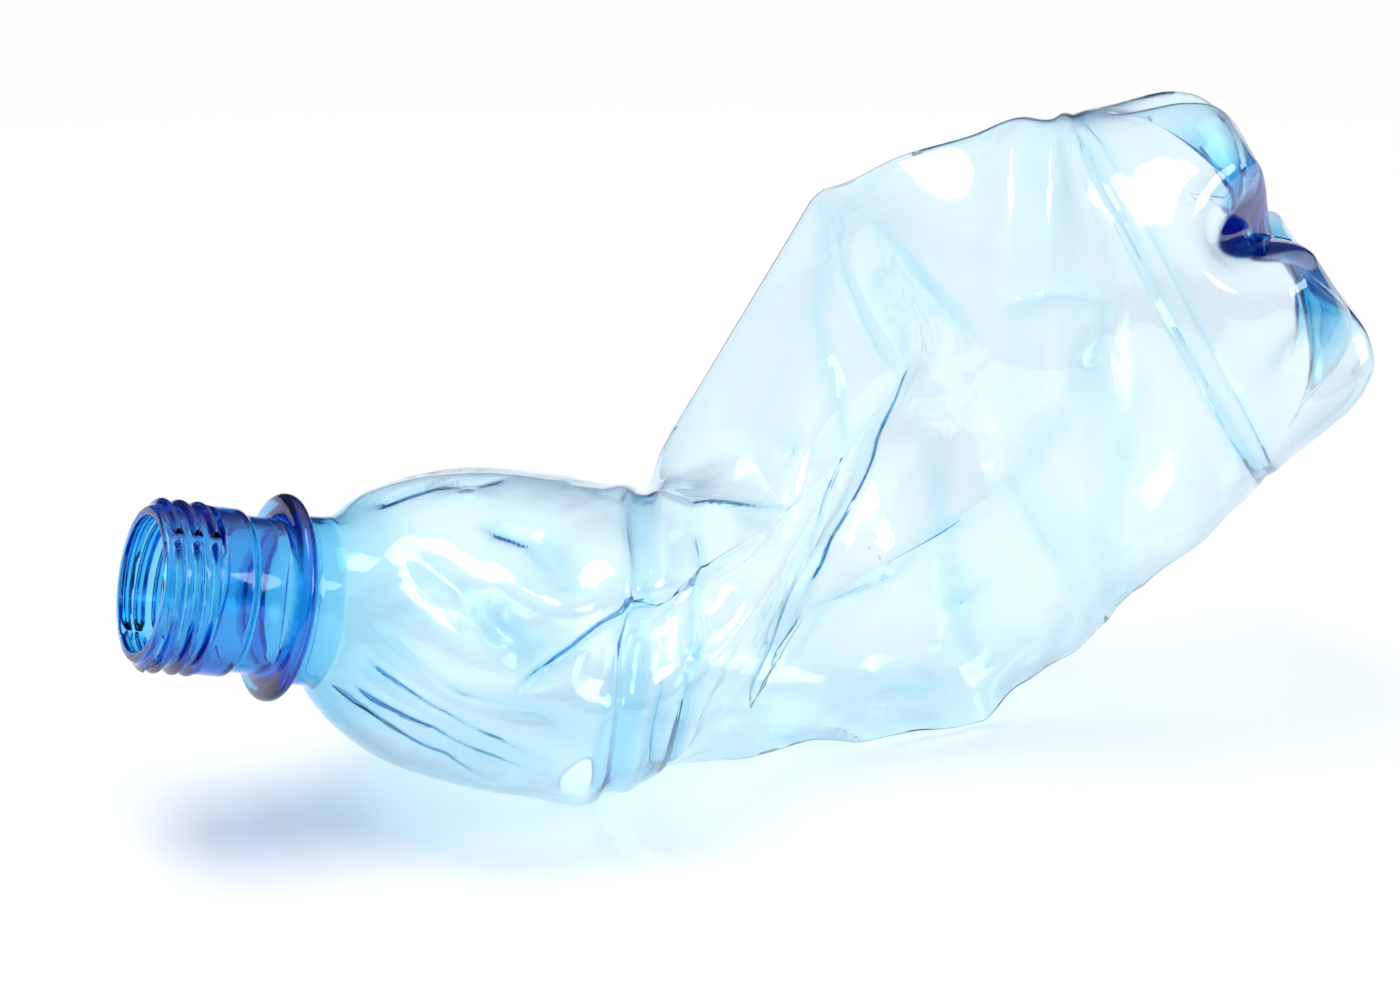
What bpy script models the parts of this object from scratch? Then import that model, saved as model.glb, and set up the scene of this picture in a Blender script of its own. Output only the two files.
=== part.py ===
"""A crushed half-litre drinks bottle, blow-moulded in one piece, lying on its side.

The skin is one sheet. Rows of points run around the bottle, from the mouth to the middle
of the base, and every row has the same number of points. The neck and the base are true rings in
frames of their own. Between them a coarse net of hand-placed points holds the folds.
The outer and the inner skin are joined at the rim of the mouth.
"""
import math

import bmesh
import bpy
import numpy as np
from mathutils import Vector

MM = 0.001

# --- the round parts, in millimetres ---------------------------------------------------
NECK_CENTRE = (-67.0, -31.0, 40.0)      # middle of the support ring
NECK_TO_BODY = (0.895, 0.361, -0.260)   # along the neck, away from the mouth
BASE_CENTRE = (77.8, 14.0, 74.8)        # middle of the last ring line before the base
BODY_TO_BASE = (0.870, 0.010, 0.493)    # along the tube, towards the feet

MOUTH_HEIGHT = 22.2         # support ring to the rim
BORE_RADIUS = 10.85
ROOT_RADIUS = 12.45         # neck under the thread
THREAD_DEPTH = 1.25
THREAD_PITCH = 3.0
THREAD_TOP = 20.2
THREAD_TURNS = 2.25
THREAD_HALF_WIDTH = 1.15
THREAD_SLOPE = 0.69         # width of each slanting side of the thread
THREAD_ROWS_FROM = 21.0     # heights between which the close rows of the thread run
THREAD_ROWS_TO = 12.9
BAND_RADIUS = 13.3          # smooth band that holds the tamper ring
RING_RADIUS = 16.5          # support ring
LOWER_NECK_RADIUS = 13.4

BASE_RADIUS = 34.4
BASE_SKEW = 0.06            # the feet stand askew, further out at the bottom
BACK_DENT = 0.12            # how much nearer the feet on the back have been pushed
FEET = 5
FIRST_VALLEY = 64.0         # degrees from the top, towards the front
VALLEY_LEAN = 10.0          # degrees that a valley turns back on its way to the middle
VALLEY_HALF_WIDTH = 17.0
OPEN_HALF_WIDTH = 25.0      # the first valley has been pulled open
OPEN_REACH = 30.0           # degrees on both sides of the first valley
OPEN_FADE = 8.0

# --- the sheet -------------------------------------------------------------------------
FRONT_COLUMNS = 9           # net columns down the front, where the folds are
BACK_COLUMNS = 6            # net columns up the plain back
PER_COLUMN = 4
WALL = 0.28
SHOULDER_WALL = 1.20
BASE_WALL = 1.6
FLUTES = 12
FLUTE_DEPTH = 0.8
FLUTE_TWIST = 1.5           # degrees towards the front for each millimetre of length
FLUTE_START = 13.0          # distance from the support ring
FLUTE_END = 56.0
FLUTE_FADE_IN = 8.0
FLUTE_FADE_OUT = 6.0
GROOVE_DEPTH = 0.9
BARREL_SWELL = 0.05         # how far the plain length before the base bulges out
BARREL_REACH = 20.0         # a shorter barrel than this swells less
THREAD_ROWS = 8
THICK_ROWS = 7              # rows over which the thick neck wall thins out

# Outside of the neck: (height above the support ring, radius).
NECK_PROFILE = [
    (MOUTH_HEIGHT, 11.9), (21.7, 12.4),
    (12.6, BAND_RADIUS), (7.3, BAND_RADIUS), (6.9, ROOT_RADIUS),
    (1.7, ROOT_RADIUS), (0.8, 15.8), (0.0, RING_RADIUS), (-0.8, 15.8),
    (-1.5, LOWER_NECK_RADIUS), (-5.5, LOWER_NECK_RADIUS),
]
BORE_PROFILE = [(MOUTH_HEIGHT, BORE_RADIUS), (10.0, BORE_RADIUS), (-1.0, BORE_RADIUS)]

# Shoulder rows: (distance from the support ring, half height, half width, how far the
# middle has sunk, share of the crushed shape, steps to the next row).
SHOULDER = [
    (7.0, 13.6, 13.6, 0.0, 0.0, 1), (10.0, 15.5, 17.8, 1.5, 0.0, 1),
    (14.5, 19.0, 22.4, 1.6, 0.0, 1), (21.0, 21.8, 27.5, 1.6, 0.06, 2),
    (32.0, 24.7, 32.0, 0.9, 0.30, 2), (46.0, 27.8, 35.0, 0.4, 0.72, 2),
]

# Base, along the middle of a foot and along two kinds of valley: (distance past the ring,
# radius).
FOOT = [(0.0, BASE_RADIUS), (6.0, 32.7), (12.0, 31.5), (18.0, 29.6), (22.2, 26.4),
        (23.9, 21.6), (23.4, 15.5), (21.7, 8.5), (20.2, 0.0)]
VALLEY = [(0.0, BASE_RADIUS), (4.0, 32.9), (8.0, 30.3), (12.0, 26.3), (15.2, 21.6),
          (17.6, 16.2), (19.2, 10.8), (20.0, 5.6), (20.2, 0.0)]
OPEN_VALLEY = [(0.0, BASE_RADIUS), (4.4, 33.6), (7.8, 32.9), (9.6, 30.8), (11.0, 26.6),
               (13.2, 20.8), (16.0, 14.2), (18.6, 7.4), (20.2, 0.0)]

# --- the crushed net, in millimetres ---------------------------------------------------
# Columns 0 to 9 go from the top edge, down the front, to the bottom edge.
# Columns 10 to 14 go up the back.
GROOVE = [
    (-9.5, 14, 40.5), (-9, 5, 45), (-9, -5, 49), (-9.6, -15, 51.8), (-9, -42, 42),
    (-10, -36, 38), (-11, -46, 27), (-12.5, -42, 14), (-14.5, -30, 3.8), (-16, -20, -0.9),
    (-15, 0, -0.3), (-14, 15, 1.6), (-13, 26, 9), (-11, 30, 21), (-10, 25, 33),
]
RING_LINE = [
    (-6.3, 14, 48), (-2.5, 5, 47), (-1.5, -8, 49.5), (-1.3, -20, 51), (0.3, -33, 45.8),
    (-0.8, -28, 41), (-2, -43, 29), (-4, -39, 16), (-6, -27, 8), (-8, -14, 2),
    (-8, 1, 1), (-7, 15, 1.4), (-6, 26, 9), (-5, 30, 22), (-5, 24, 36),
]
LOBE_TIP = [
    (0, 13.5, 59.5), (5, 8, 54), (9.5, 0, 49.5), (13, -8, 46.5), (14, -10, 45.5),
    (12.5, -20, 42.5), (8, -32, 36.5), (2.5, -33, 24), (1, -23, 11), (0, -11, 1.5),
    (2, 2, 0.8), (3, 16, 0.6), (3, 27, 10), (3, 29, 26), (1, 22, 44),
]
FIRST_FOLD = [
    (18.2, 12, 92.5), (21, 10, 80), (22, 7, 71.5), (23.5, 4, 63.5), (24, 2, 51),
    (17, -12, 43), (12, -22, 35), (7, -26, 23.5), (5.5, -20, 12.5), (6, -10, 1.5),
    (11, 4, 0.5), (13, 18, 2), (14, 27, 14), (15, 29, 36), (16, 23, 66),
]
SECOND_FOLD = [
    (20, 12, 94), (23.5, 10, 85.5), (28, 7, 74.5), (33.5, 4, 65), (25, 4, 50),
    (19, -8, 39.5), (14, -17, 33.5), (8.5, -20, 15.5), (11, -14, 9), (15, -6, 1),
    (22, 6, 0.5), (24, 19, 6), (24, 28, 22), (23, 30, 46), (21, 24, 74),
]
RIDGE = [
    (22, 12, 94.5), (27.5, 8, 89), (31.5, 4, 79), (35, 1, 70), (29.5, 0, 54.5),
    (23.5, -9, 45), (18.5, -19, 34.5), (12.5, -22, 26), (16.5, -14, 15), (27, -3, 1),
    (31, 9, 2), (32, 21, 12), (31, 30, 31), (29, 32, 56), (25, 26, 80),
]
BEND = [
    (32.5, 12, 99.5), (34.5, 4, 92.5), (36, -1, 82.5), (37, -3, 72), (36.5, -5, 60),
    (35, -10, 49), (33, -16, 41.5), (37, -5, 24.5), (41.5, 2, 7.5), (49, 7.5, 0),
    (47, 17, 4), (46, 27, 19), (43, 34, 40), (39, 35, 64), (35, 27, 86),
]
HEEL = [
    (44, 13, 102.6), (44, 4, 96.6), (43.5, -4, 87.6), (43, -8, 78.1), (43, -10, 67.1),
    (42, -13, 57.1), (42, -16, 47.6), (46.5, -8, 33.1), (52.5, 0, 18.6), (60, 7, 10.6),
    (59, 19, 12), (57, 31, 25), (53, 38, 47), (49, 38, 71), (46, 29, 91),
]
BAND_START = [
    (52, 14, 105.2), (51, 2, 99.2), (50.5, -6, 90.7), (49.5, -10, 82.2), (49, -13, 73.2),
    (49.5, -14, 63.2), (50.5, -13, 52.7), (56.5, -10, 42.7), (63.5, -3, 31.7), (70, 7, 20.2),
    (69, 21, 22.5), (67, 34, 36), (63, 40, 57), (59, 39, 79), (55, 30, 96),
]
BAND_END = [
    (57, 14, 104.4), (57, 2, 98.6), (56.5, -6, 91.4), (55.5, -11, 83.2), (54.5, -14, 74.7),
    (54, -15, 65.7), (56, -14, 56.2), (61.5, -11, 47.2), (68, -4, 36.7), (74.5, 7, 25.2),
    (75, 21, 27.5), (73, 34, 41), (69, 41, 61), (65, 40, 82), (60, 30, 98),
]

# Each row of the net, the number of steps to the next one, and its folds: how sharp the
# sheet turns across the row (crosswise) and across each column (lengthwise), 0 to 1.
NET = [
    (GROOVE, 2, {}, {3: 0.5, 4: 0.7, 5: 0.5, 9: 0.3}),
    (RING_LINE, 2, {}, {0: 0.6, 3: 0.8, 4: 1.0, 5: 0.8, 9: 0.8}),
    (LOBE_TIP, 2, {3: 0.7, 4: 1.0, 5: 0.5}, {0: 0.8, 3: 0.6, 4: 1.0, 9: 1.0}),
    (FIRST_FOLD, 1, {0: 1, 1: 0.9, 2: 0.8, 3: 0.8, 4: 1, 5: 0.6, 6: 0.5}, {0: 1, 4: 1, 9: 1}),
    (SECOND_FOLD, 1, {0: 1, 1: 0.8, 2: 1, 3: 1, 4: 1, 5: 1, 6: 1, 7: 1}, {0: 1, 3: 1, 7: 0.7, 9: 1}),
    (RIDGE, 2, {4: 0.7, 5: 1, 6: 1, 7: 1, 8: 0.6}, {0: 1, 7: 0.8, 8: 0.6, 9: 1}),
    (BEND, 3, {9: 1}, {0: 0.8, 6: 1, 8: 0.8, 9: 1}),
    (HEEL, 3, {}, {0: 0.6, 6: 1, 9: 0.9}),
    (BAND_START, 1, {}, {0: 0.3, 6: 0.8, 9: 0.7}),
    (BAND_END, 2, {}, {0: 0.2, 6: 0.3, 9: 0.5}),
]


def unit(vector):
    """The vector, or each vector of an array, at length one."""
    vector = np.asarray(vector, dtype=float)
    return vector / np.maximum(np.linalg.norm(vector, axis=-1, keepdims=True), 1e-9)


def ring_frame(centre, along):
    """Centre, long axis, upward and forward directions of a round part."""
    along = unit(along)
    up = unit(np.array([0.0, 0.0, 1.0]) - along[2] * along)
    return np.array(centre), along, up, np.cross(along, up)


def oval(frame, distance, half_height, half_width, angles):
    """Points around a frame's axis; angles run from the top, towards the front."""
    centre, along, up, front = frame
    distance = np.broadcast_to(distance, angles.shape)[:, None]
    height = (half_height * np.cos(angles))[:, None]
    width = (half_width * np.sin(angles))[:, None]
    return centre + along * distance + up * height + front * width


def ring(frame, distance, radius, angles):
    """An oval that is round."""
    return oval(frame, distance, radius, radius, angles)


def column_angles(per_column):
    """Angles of the columns on a round row, closer together on the front half."""
    front = np.linspace(0.0, math.pi, FRONT_COLUMNS * per_column, endpoint=False)
    back = np.linspace(math.pi, math.tau, BACK_COLUMNS * per_column, endpoint=False)
    return np.concatenate([front, back])


def thread_height(height, angles):
    """How far the screw thread stands out of the neck at one height."""
    turn = (THREAD_TOP - height) / THREAD_PITCH
    nearest = np.round(turn - angles / math.tau) + angles / math.tau
    nearest = np.clip(nearest, 0.0, THREAD_TURNS)
    away = np.abs(turn - nearest) * THREAD_PITCH
    return THREAD_DEPTH * np.clip((THREAD_HALF_WIDTH - away) / THREAD_SLOPE, 0.0, 1.0)


def neck_rows(frame):
    """Outside of the neck, from the rim down to where the shoulder starts."""
    angles = column_angles(PER_COLUMN)
    rows = []
    for height, radius in NECK_PROFILE[:2]:
        rows.append(ring(frame, -height, radius, angles))
    for height in np.linspace(THREAD_ROWS_FROM, THREAD_ROWS_TO, THREAD_ROWS):
        rows.append(ring(frame, -height, ROOT_RADIUS + thread_height(height, angles), angles))
    for height, radius in NECK_PROFILE[2:]:
        rows.append(ring(frame, -height, radius, angles))
    return rows


def smooth_step(value):
    value = np.clip(value, 0.0, 1.0)
    return value * value * (3.0 - 2.0 * value)


def mix(first, second, share):
    return first + (second - first) * share


def base_rows(frame):
    """The base: five feet with a valley between each two, down to the middle."""
    angles = column_angles(PER_COLUMN)
    lobe = 360.0 / FEET
    skew = 1.0 - BASE_SKEW * np.cos(angles) - BACK_DENT * np.maximum(-np.sin(angles), 0.0)
    rows = []
    for foot, plain, pulled in zip(FOOT[1:-1], VALLEY[1:-1], OPEN_VALLEY[1:-1]):
        lean = VALLEY_LEAN * (foot[1] / BASE_RADIUS - 1.0)
        off_first = (np.degrees(angles) - FIRST_VALLEY - lean + 180.0) % 360.0 - 180.0
        opened = 1.0 - smooth_step((np.abs(off_first) - OPEN_REACH) / OPEN_FADE)
        off_valley = (off_first + lobe / 2) % lobe - lobe / 2
        on_foot = smooth_step(np.abs(off_valley) / mix(VALLEY_HALF_WIDTH, OPEN_HALF_WIDTH, opened))
        distance = mix(mix(plain[0], pulled[0], opened), foot[0], on_foot)
        radius = mix(mix(plain[1], pulled[1], opened), foot[1], on_foot)
        rows.append(ring(frame, distance * skew, radius, angles))
    return rows


def shoulder_net(frame):
    """Net rows of the shoulder: rings near the neck that take on the crushed shape."""
    crushed = np.array(GROOVE, dtype=float)
    reach = np.dot(crushed.mean(axis=0) - frame[0], frame[1])
    rows = []
    for distance, half_height, half_width, sunk, share, _ in SHOULDER:
        rounded = oval(frame, distance, half_height, half_width, column_angles(1)) - frame[2] * sunk
        flattened = crushed - frame[1] * (reach - distance)
        rows.append(rounded * (1.0 - share) + flattened * share)
    return rows


def tangents(before, here, after, sharp):
    """Leaving and arriving directions at each point; a sharp point has two."""
    back = unit(here - before)
    ahead = unit(after - here)
    step_back = np.linalg.norm(here - before, axis=-1, keepdims=True)
    step_ahead = np.linalg.norm(after - here, axis=-1, keepdims=True)
    smooth = unit(back * step_ahead + ahead * step_back)
    sharp = np.asarray(sharp)[..., None]
    leaving = unit(smooth * (1.0 - sharp) + ahead * sharp)
    arriving = unit(smooth * (1.0 - sharp) + back * sharp)
    return leaving, arriving


def span(start, end, leaving, arriving, steps):
    """Points of a curve from start up to, and not including, end."""
    chord = np.linalg.norm(end - start, axis=-1, keepdims=True)
    points = []
    for step in range(steps):
        t = step / steps
        points.append(start * (2 * t**3 - 3 * t**2 + 1) + end * (3 * t**2 - 2 * t**3)
                      + leaving * chord * (t**3 - 2 * t**2 + t)
                      + arriving * chord * (t**3 - t**2))
    return points


def refine_rows(net, steps, crosswise, lengthwise):
    """Add rows between the rows of the net, and fade the lengthwise folds along them."""
    before = np.concatenate([2 * net[:1] - net[1:2], net[:-1]])
    after = np.concatenate([net[1:], 2 * net[-1:] - net[-2:-1]])
    leaving, arriving = tangents(before, net, after, crosswise)
    rows = []
    folds = []
    for i, count in enumerate(steps):
        rows += span(net[i], net[i + 1], leaving[i], arriving[i + 1], count)
        for step in range(count):
            folds.append(lengthwise[i] + (lengthwise[i + 1] - lengthwise[i]) * step / count)
    return rows + [net[-1]], folds + [lengthwise[-1]]


def refine_columns(row, fold):
    """Add columns between the points of one closed row."""
    before = np.roll(row, 1, axis=0)
    after = np.roll(row, -1, axis=0)
    leaving, arriving = tangents(before, row, after, fold)
    points = span(row, after, leaving, np.roll(arriving, -1, axis=0), PER_COLUMN)
    return np.stack(points, axis=1).reshape(-1, 3)


def fold_weights(marks):
    """Fold sharpness of every column of a row."""
    weights = np.zeros(FRONT_COLUMNS + BACK_COLUMNS)
    for column, sharpness in marks.items():
        weights[column] = sharpness
    return weights


def body_rows(neck, base):
    """The sheet between the neck and the base."""
    shoulder = shoulder_net(neck)
    ring_line = ring(base, 0.0, BASE_RADIUS, column_angles(1))
    barrel = (np.array(BAND_END) + ring_line) / 2
    reach = np.linalg.norm(ring_line - np.array(BAND_END), axis=1, keepdims=True)
    barrel += (barrel - barrel.mean(axis=0)) * BARREL_SWELL * np.minimum(reach / BARREL_REACH, 1.0)
    crushed = [row for row, _, _, _ in NET]
    net = np.array(shoulder + crushed + [barrel, ring_line], dtype=float)
    steps = [row[-1] for row in SHOULDER] + [count for _, count, _, _ in NET] + [2]
    plain = [fold_weights({})]
    across = plain * len(shoulder) + [fold_weights(marks) for _, _, marks, _ in NET] + plain * 2
    along = plain * len(shoulder) + [fold_weights(marks) for _, _, _, marks in NET] + plain * 2
    rows, folds = refine_rows(net, steps, np.array(across), np.array(along))
    return np.array([refine_columns(row, fold) for row, fold in zip(rows, folds)])


def row_of_groove():
    """Number of the body row that the groove at the end of the flutes runs along."""
    return sum(row[-1] for row in SHOULDER)


def pressed_in(body, neck):
    """Depth of the spiral flutes and of the groove at every point of the body."""
    distance = (body - neck[0]) @ neck[1]
    turn = np.degrees(column_angles(PER_COLUMN)) - FLUTE_TWIST * distance
    start = np.clip((distance - FLUTE_START) / FLUTE_FADE_IN, 0.0, 1.0)
    end = np.clip((FLUTE_END - distance) / FLUTE_FADE_OUT, 0.0, 1.0)
    on_shoulder = np.arange(len(body)) < row_of_groove()
    fade = start * end * on_shoulder[:, None]
    depth = fade * FLUTE_DEPTH * (0.5 + 0.5 * np.cos(np.radians(turn * FLUTES)))
    depth[row_of_groove()] += GROOVE_DEPTH
    return depth


def sheet_normals(grid):
    """Outward direction at every point of a closed band of rows."""
    around = np.roll(grid, -1, axis=1) - np.roll(grid, 1, axis=1)
    along = np.gradient(grid, axis=0)
    return unit(np.cross(around, along))


def bottle_skins():
    """Rows of the outside and of the inside, from the rim to the base."""
    neck = ring_frame(NECK_CENTRE, NECK_TO_BODY)
    base = ring_frame(BASE_CENTRE, BODY_TO_BASE)
    body = body_rows(neck, base)
    body = body - sheet_normals(body) * pressed_in(body, neck)[..., None]
    bottom = np.array(base_rows(base))
    sheet = np.concatenate([body, bottom])
    thickness = np.full(len(sheet), WALL)
    thickness[:THICK_ROWS] = np.linspace(SHOULDER_WALL, WALL, THICK_ROWS)
    thickness[-len(bottom):] = np.linspace(WALL, BASE_WALL, len(bottom))
    inner_sheet = sheet - sheet_normals(sheet) * thickness[:, None, None]
    bore = [ring(neck, -height, radius, column_angles(PER_COLUMN)) for height, radius in BORE_PROFILE]
    outer = np.concatenate([neck_rows(neck), sheet])
    inner = np.concatenate([bore, inner_sheet])
    outer_middle = base[0] + base[1] * FOOT[-1][0]
    inner_middle = outer_middle - base[1] * BASE_WALL
    lowest = outer.min(axis=(0, 1))
    highest = outer.max(axis=(0, 1))
    origin = np.array([(lowest[0] + highest[0]) / 2, (lowest[1] + highest[1]) / 2, lowest[2]])
    return outer - origin, inner - origin, outer_middle - origin, inner_middle - origin


def add_row(bm, points):
    return [bm.verts.new(Vector(point) * MM) for point in points]


def join_rows(bm, first, second):
    """A band of quads between two rows."""
    for j in range(len(first)):
        k = (j + 1) % len(first)
        bm.faces.new((first[j], first[k], second[k], second[j]))


def close_row(bm, row, middle, outward):
    """A fan of triangles from the last row to the middle of the base."""
    centre = bm.verts.new(Vector(middle) * MM)
    for j in range(len(row)):
        k = (j + 1) % len(row)
        corners = (row[j], row[k], centre) if outward else (row[k], row[j], centre)
        bm.faces.new(corners)


def bottle_mesh():
    """One closed body: the outer skin, the rim and the inner skin."""
    outer, inner, outer_middle, inner_middle = bottle_skins()
    bm = bmesh.new()
    outer_rows = [add_row(bm, row) for row in outer]
    inner_rows = [add_row(bm, row) for row in inner]
    for first, second in zip(outer_rows[:-1], outer_rows[1:]):
        join_rows(bm, first, second)
    for first, second in zip(inner_rows[:-1], inner_rows[1:]):
        join_rows(bm, second, first)
    join_rows(bm, inner_rows[0], outer_rows[0])
    close_row(bm, outer_rows[-1], outer_middle, True)
    close_row(bm, inner_rows[-1], inner_middle, False)
    mesh = bpy.data.meshes.new("bottle")
    bm.to_mesh(mesh)
    bm.free()
    return mesh


def plastic():
    """Clear pale-blue plastic."""
    material = bpy.data.materials.new("blue_pet")
    material.use_nodes = True
    shader = material.node_tree.nodes["Principled BSDF"]
    shader.inputs["Base Color"].default_value = (0.55, 0.78, 0.95, 1.0)
    shader.inputs["Roughness"].default_value = 0.06
    shader.inputs["IOR"].default_value = 1.575
    shader.inputs["Transmission Weight"].default_value = 1.0
    return material


def main():
    for old in list(bpy.data.objects):
        bpy.data.objects.remove(old)
    mesh = bottle_mesh()
    mesh.materials.append(plastic())
    mesh.shade_smooth()
    mesh.set_sharp_from_angle(angle=math.radians(40.0))
    bottle = bpy.data.objects.new("bottle", mesh)
    bpy.context.scene.collection.objects.link(bottle)


main()
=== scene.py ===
# %% [markdown]
# # A crushed drinks bottle
# A half-litre bottle is blown from one thick tube of clear blue plastic. The neck stays as
# thick as it was moulded, so it looks deep blue. The body is blown out to a fraction of a
# millimetre, so it looks almost colourless, and it folds like stiff paper when it is twisted.
# This lesson builds it as one sheet of points, presses the moulded detail into the sheet with
# Geometry Nodes, gives the sheet its wall, and finishes it as real absorbing plastic.

import math
from collections import namedtuple

import bpy
import numpy as np
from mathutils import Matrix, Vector


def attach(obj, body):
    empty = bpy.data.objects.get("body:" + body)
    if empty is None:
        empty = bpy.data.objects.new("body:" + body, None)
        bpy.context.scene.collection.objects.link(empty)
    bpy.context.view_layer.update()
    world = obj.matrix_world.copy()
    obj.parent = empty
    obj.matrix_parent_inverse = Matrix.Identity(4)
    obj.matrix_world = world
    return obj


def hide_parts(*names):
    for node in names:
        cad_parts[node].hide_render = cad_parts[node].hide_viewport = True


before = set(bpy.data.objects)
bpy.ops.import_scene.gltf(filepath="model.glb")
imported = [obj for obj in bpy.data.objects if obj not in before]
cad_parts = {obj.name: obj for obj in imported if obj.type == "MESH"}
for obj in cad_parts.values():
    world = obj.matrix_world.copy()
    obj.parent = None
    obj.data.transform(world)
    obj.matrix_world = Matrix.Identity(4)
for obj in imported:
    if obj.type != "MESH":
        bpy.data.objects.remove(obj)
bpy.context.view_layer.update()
MM = 0.001

# %% [markdown]
# ## The camera
# A long lens from a little above keeps the bottle's lines almost parallel. The bottle lies on
# a white table, and the camera looks down on it by 22 degrees.

# %% Camera
LENS = 100.0
LOOK_DOWN = 22.0
CAMERA_PLACE = (-0.00956, -0.59213, 0.28520)
camera_data = bpy.data.cameras.new("camera")
camera_data.lens = LENS
camera_data.sensor_width = 36.0
camera = bpy.data.objects.new("camera", camera_data)
camera.location = CAMERA_PLACE
camera.rotation_euler = (math.radians(90.0 - LOOK_DOWN), 0.0, 0.0)
bpy.context.scene.collection.objects.link(camera)
bpy.context.scene.camera = camera
print("camera at", [round(v, 3) for v in camera.location], "looking down", LOOK_DOWN, "degrees")

# %% [markdown]
# ## The net behind the sheet
# Crushed plastic is hard to model with boxes and cylinders, and sculpting it by hand gives a
# different shape each time. Here a coarse net holds the folds instead: rows of fifteen points
# run around the bottle, and each point sits on a fold or between two. Column 0 is the top
# edge, columns 1 to 8 come down the front, column 9 is the bottom edge, and the rest go up
# the back. Sizes are in millimetres. The neck and the base are true rings in frames of their
# own, since they keep their moulded shape.

# %% Sizes of the round parts
NECK_CENTRE = (-67.0, -31.0, 40.0)
NECK_TO_BODY = (0.895, 0.361, -0.260)
BASE_CENTRE = (77.8, 14.0, 74.8)
BODY_TO_BASE = (0.870, 0.010, 0.493)
ORIGIN = np.array([9.558, -1.271, -0.497])  # where the bottle's own origin lies in the net
BASE_RADIUS = 34.4
FRONT_COLUMNS = 9
BACK_COLUMNS = 6

# %% The crushed net
# Shoulder rows: distance from the support ring, half height, half width, how far the middle
# has sunk, and the share of the crushed shape.
SHOULDER = [
    (7.0, 13.6, 13.6, 0.0, 0.0), (8.0, 14.2, 15.0, 0.6, 0.0), (10.0, 15.5, 17.8, 1.5, 0.0),
    (14.5, 19.0, 22.4, 1.6, 0.0), (21.0, 21.8, 27.5, 1.6, 0.06), (32.0, 24.7, 32.0, 0.9, 0.30),
    (46.0, 27.8, 35.0, 0.4, 0.72),
]
GROOVE = [
    (-9.5, 14, 40.5), (-9, 5, 45), (-9, -5, 49), (-9.6, -15, 51.8), (-9, -42, 42),
    (-10, -36, 38), (-11, -46, 27), (-12.5, -42, 14), (-14.5, -30, 3.8), (-16, -20, -0.9),
    (-15, 0, -0.3), (-14, 15, 1.6), (-13, 26, 9), (-11, 30, 21), (-10, 25, 33),
]
RING_LINE = [
    (-6.3, 14, 48), (-2.5, 5, 47), (-1.5, -8, 49.5), (-1.3, -20, 51), (0.3, -33, 45.8),
    (-0.8, -28, 41), (-2, -43, 29), (-4, -39, 16), (-6, -27, 8), (-8, -14, 2),
    (-8, 1, 1), (-7, 15, 1.4), (-6, 26, 9), (-5, 30, 22), (-5, 24, 36),
]
LOBE_TIP = [
    (0, 13.5, 59.5), (5, 8, 54), (9.5, 0, 49.5), (13, -8, 46.5), (14, -10, 45.5),
    (12.5, -20, 42.5), (8, -32, 36.5), (2.5, -33, 24), (1, -23, 11), (0, -11, 1.5),
    (2, 2, 0.8), (3, 16, 0.6), (3, 27, 10), (3, 29, 26), (1, 22, 44),
]
FIRST_FOLD = [
    (18.2, 12, 92.5), (21, 10, 80), (22, 7, 71.5), (23.5, 4, 63.5), (24, 2, 51),
    (17, -12, 43), (12, -22, 35), (7, -26, 23.5), (5.5, -20, 12.5), (6, -10, 1.5),
    (11, 4, 0.5), (13, 18, 2), (14, 27, 14), (15, 29, 36), (16, 23, 66),
]
SECOND_FOLD = [
    (20, 12, 94), (23.5, 10, 85.5), (28, 7, 74.5), (33.5, 4, 65), (25, 4, 50),
    (19, -8, 39.5), (14, -17, 33.5), (8.5, -20, 15.5), (11, -14, 9), (15, -6, 1),
    (22, 6, 0.5), (24, 19, 6), (24, 28, 22), (23, 30, 46), (21, 24, 74),
]
RIDGE = [
    (22, 12, 94.5), (27.5, 8, 89), (31.5, 4, 79), (35, 1, 70), (29.5, 0, 54.5),
    (23.5, -9, 45), (18.5, -19, 34.5), (12.5, -22, 26), (16.5, -14, 15), (27, -3, 1),
    (31, 9, 2), (32, 21, 12), (31, 30, 31), (29, 32, 56), (25, 26, 80),
]
BEND = [
    (32.5, 12, 99.5), (34.5, 4, 92.5), (36, -1, 82.5), (37, -3, 72), (36.5, -5, 60),
    (35, -10, 49), (33, -16, 41.5), (37, -5, 24.5), (41.5, 2, 7.5), (49, 7.5, 0),
    (47, 17, 4), (46, 27, 19), (43, 34, 40), (39, 35, 64), (35, 27, 86),
]
HEEL = [
    (44, 13, 102.6), (44, 4, 96.6), (43.5, -4, 87.6), (43, -8, 78.1), (43, -10, 67.1),
    (42, -13, 57.1), (42, -16, 47.6), (46.5, -8, 33.1), (52.5, 0, 18.6), (60, 7, 10.6),
    (59, 19, 12), (57, 31, 25), (53, 38, 47), (49, 38, 71), (46, 29, 91),
]
BAND_START = [
    (52, 14, 105.2), (51, 2, 99.2), (50.5, -6, 90.7), (49.5, -10, 82.2), (49, -13, 73.2),
    (49.5, -14, 63.2), (50.5, -13, 52.7), (56.5, -10, 42.7), (63.5, -3, 31.7), (70, 7, 20.2),
    (69, 21, 22.5), (67, 34, 36), (63, 40, 57), (59, 39, 79), (55, 30, 96),
]
BAND_END = [
    (57, 14, 104.4), (57, 2, 98.6), (56.5, -6, 91.4), (55.5, -11, 83.2), (54.5, -14, 74.7),
    (54, -15, 65.7), (56, -14, 56.2), (61.5, -11, 47.2), (68, -4, 36.7), (74.5, 7, 25.2),
    (75, 21, 27.5), (73, 34, 41), (69, 41, 61), (65, 40, 82), (60, 30, 98),
]
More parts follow.
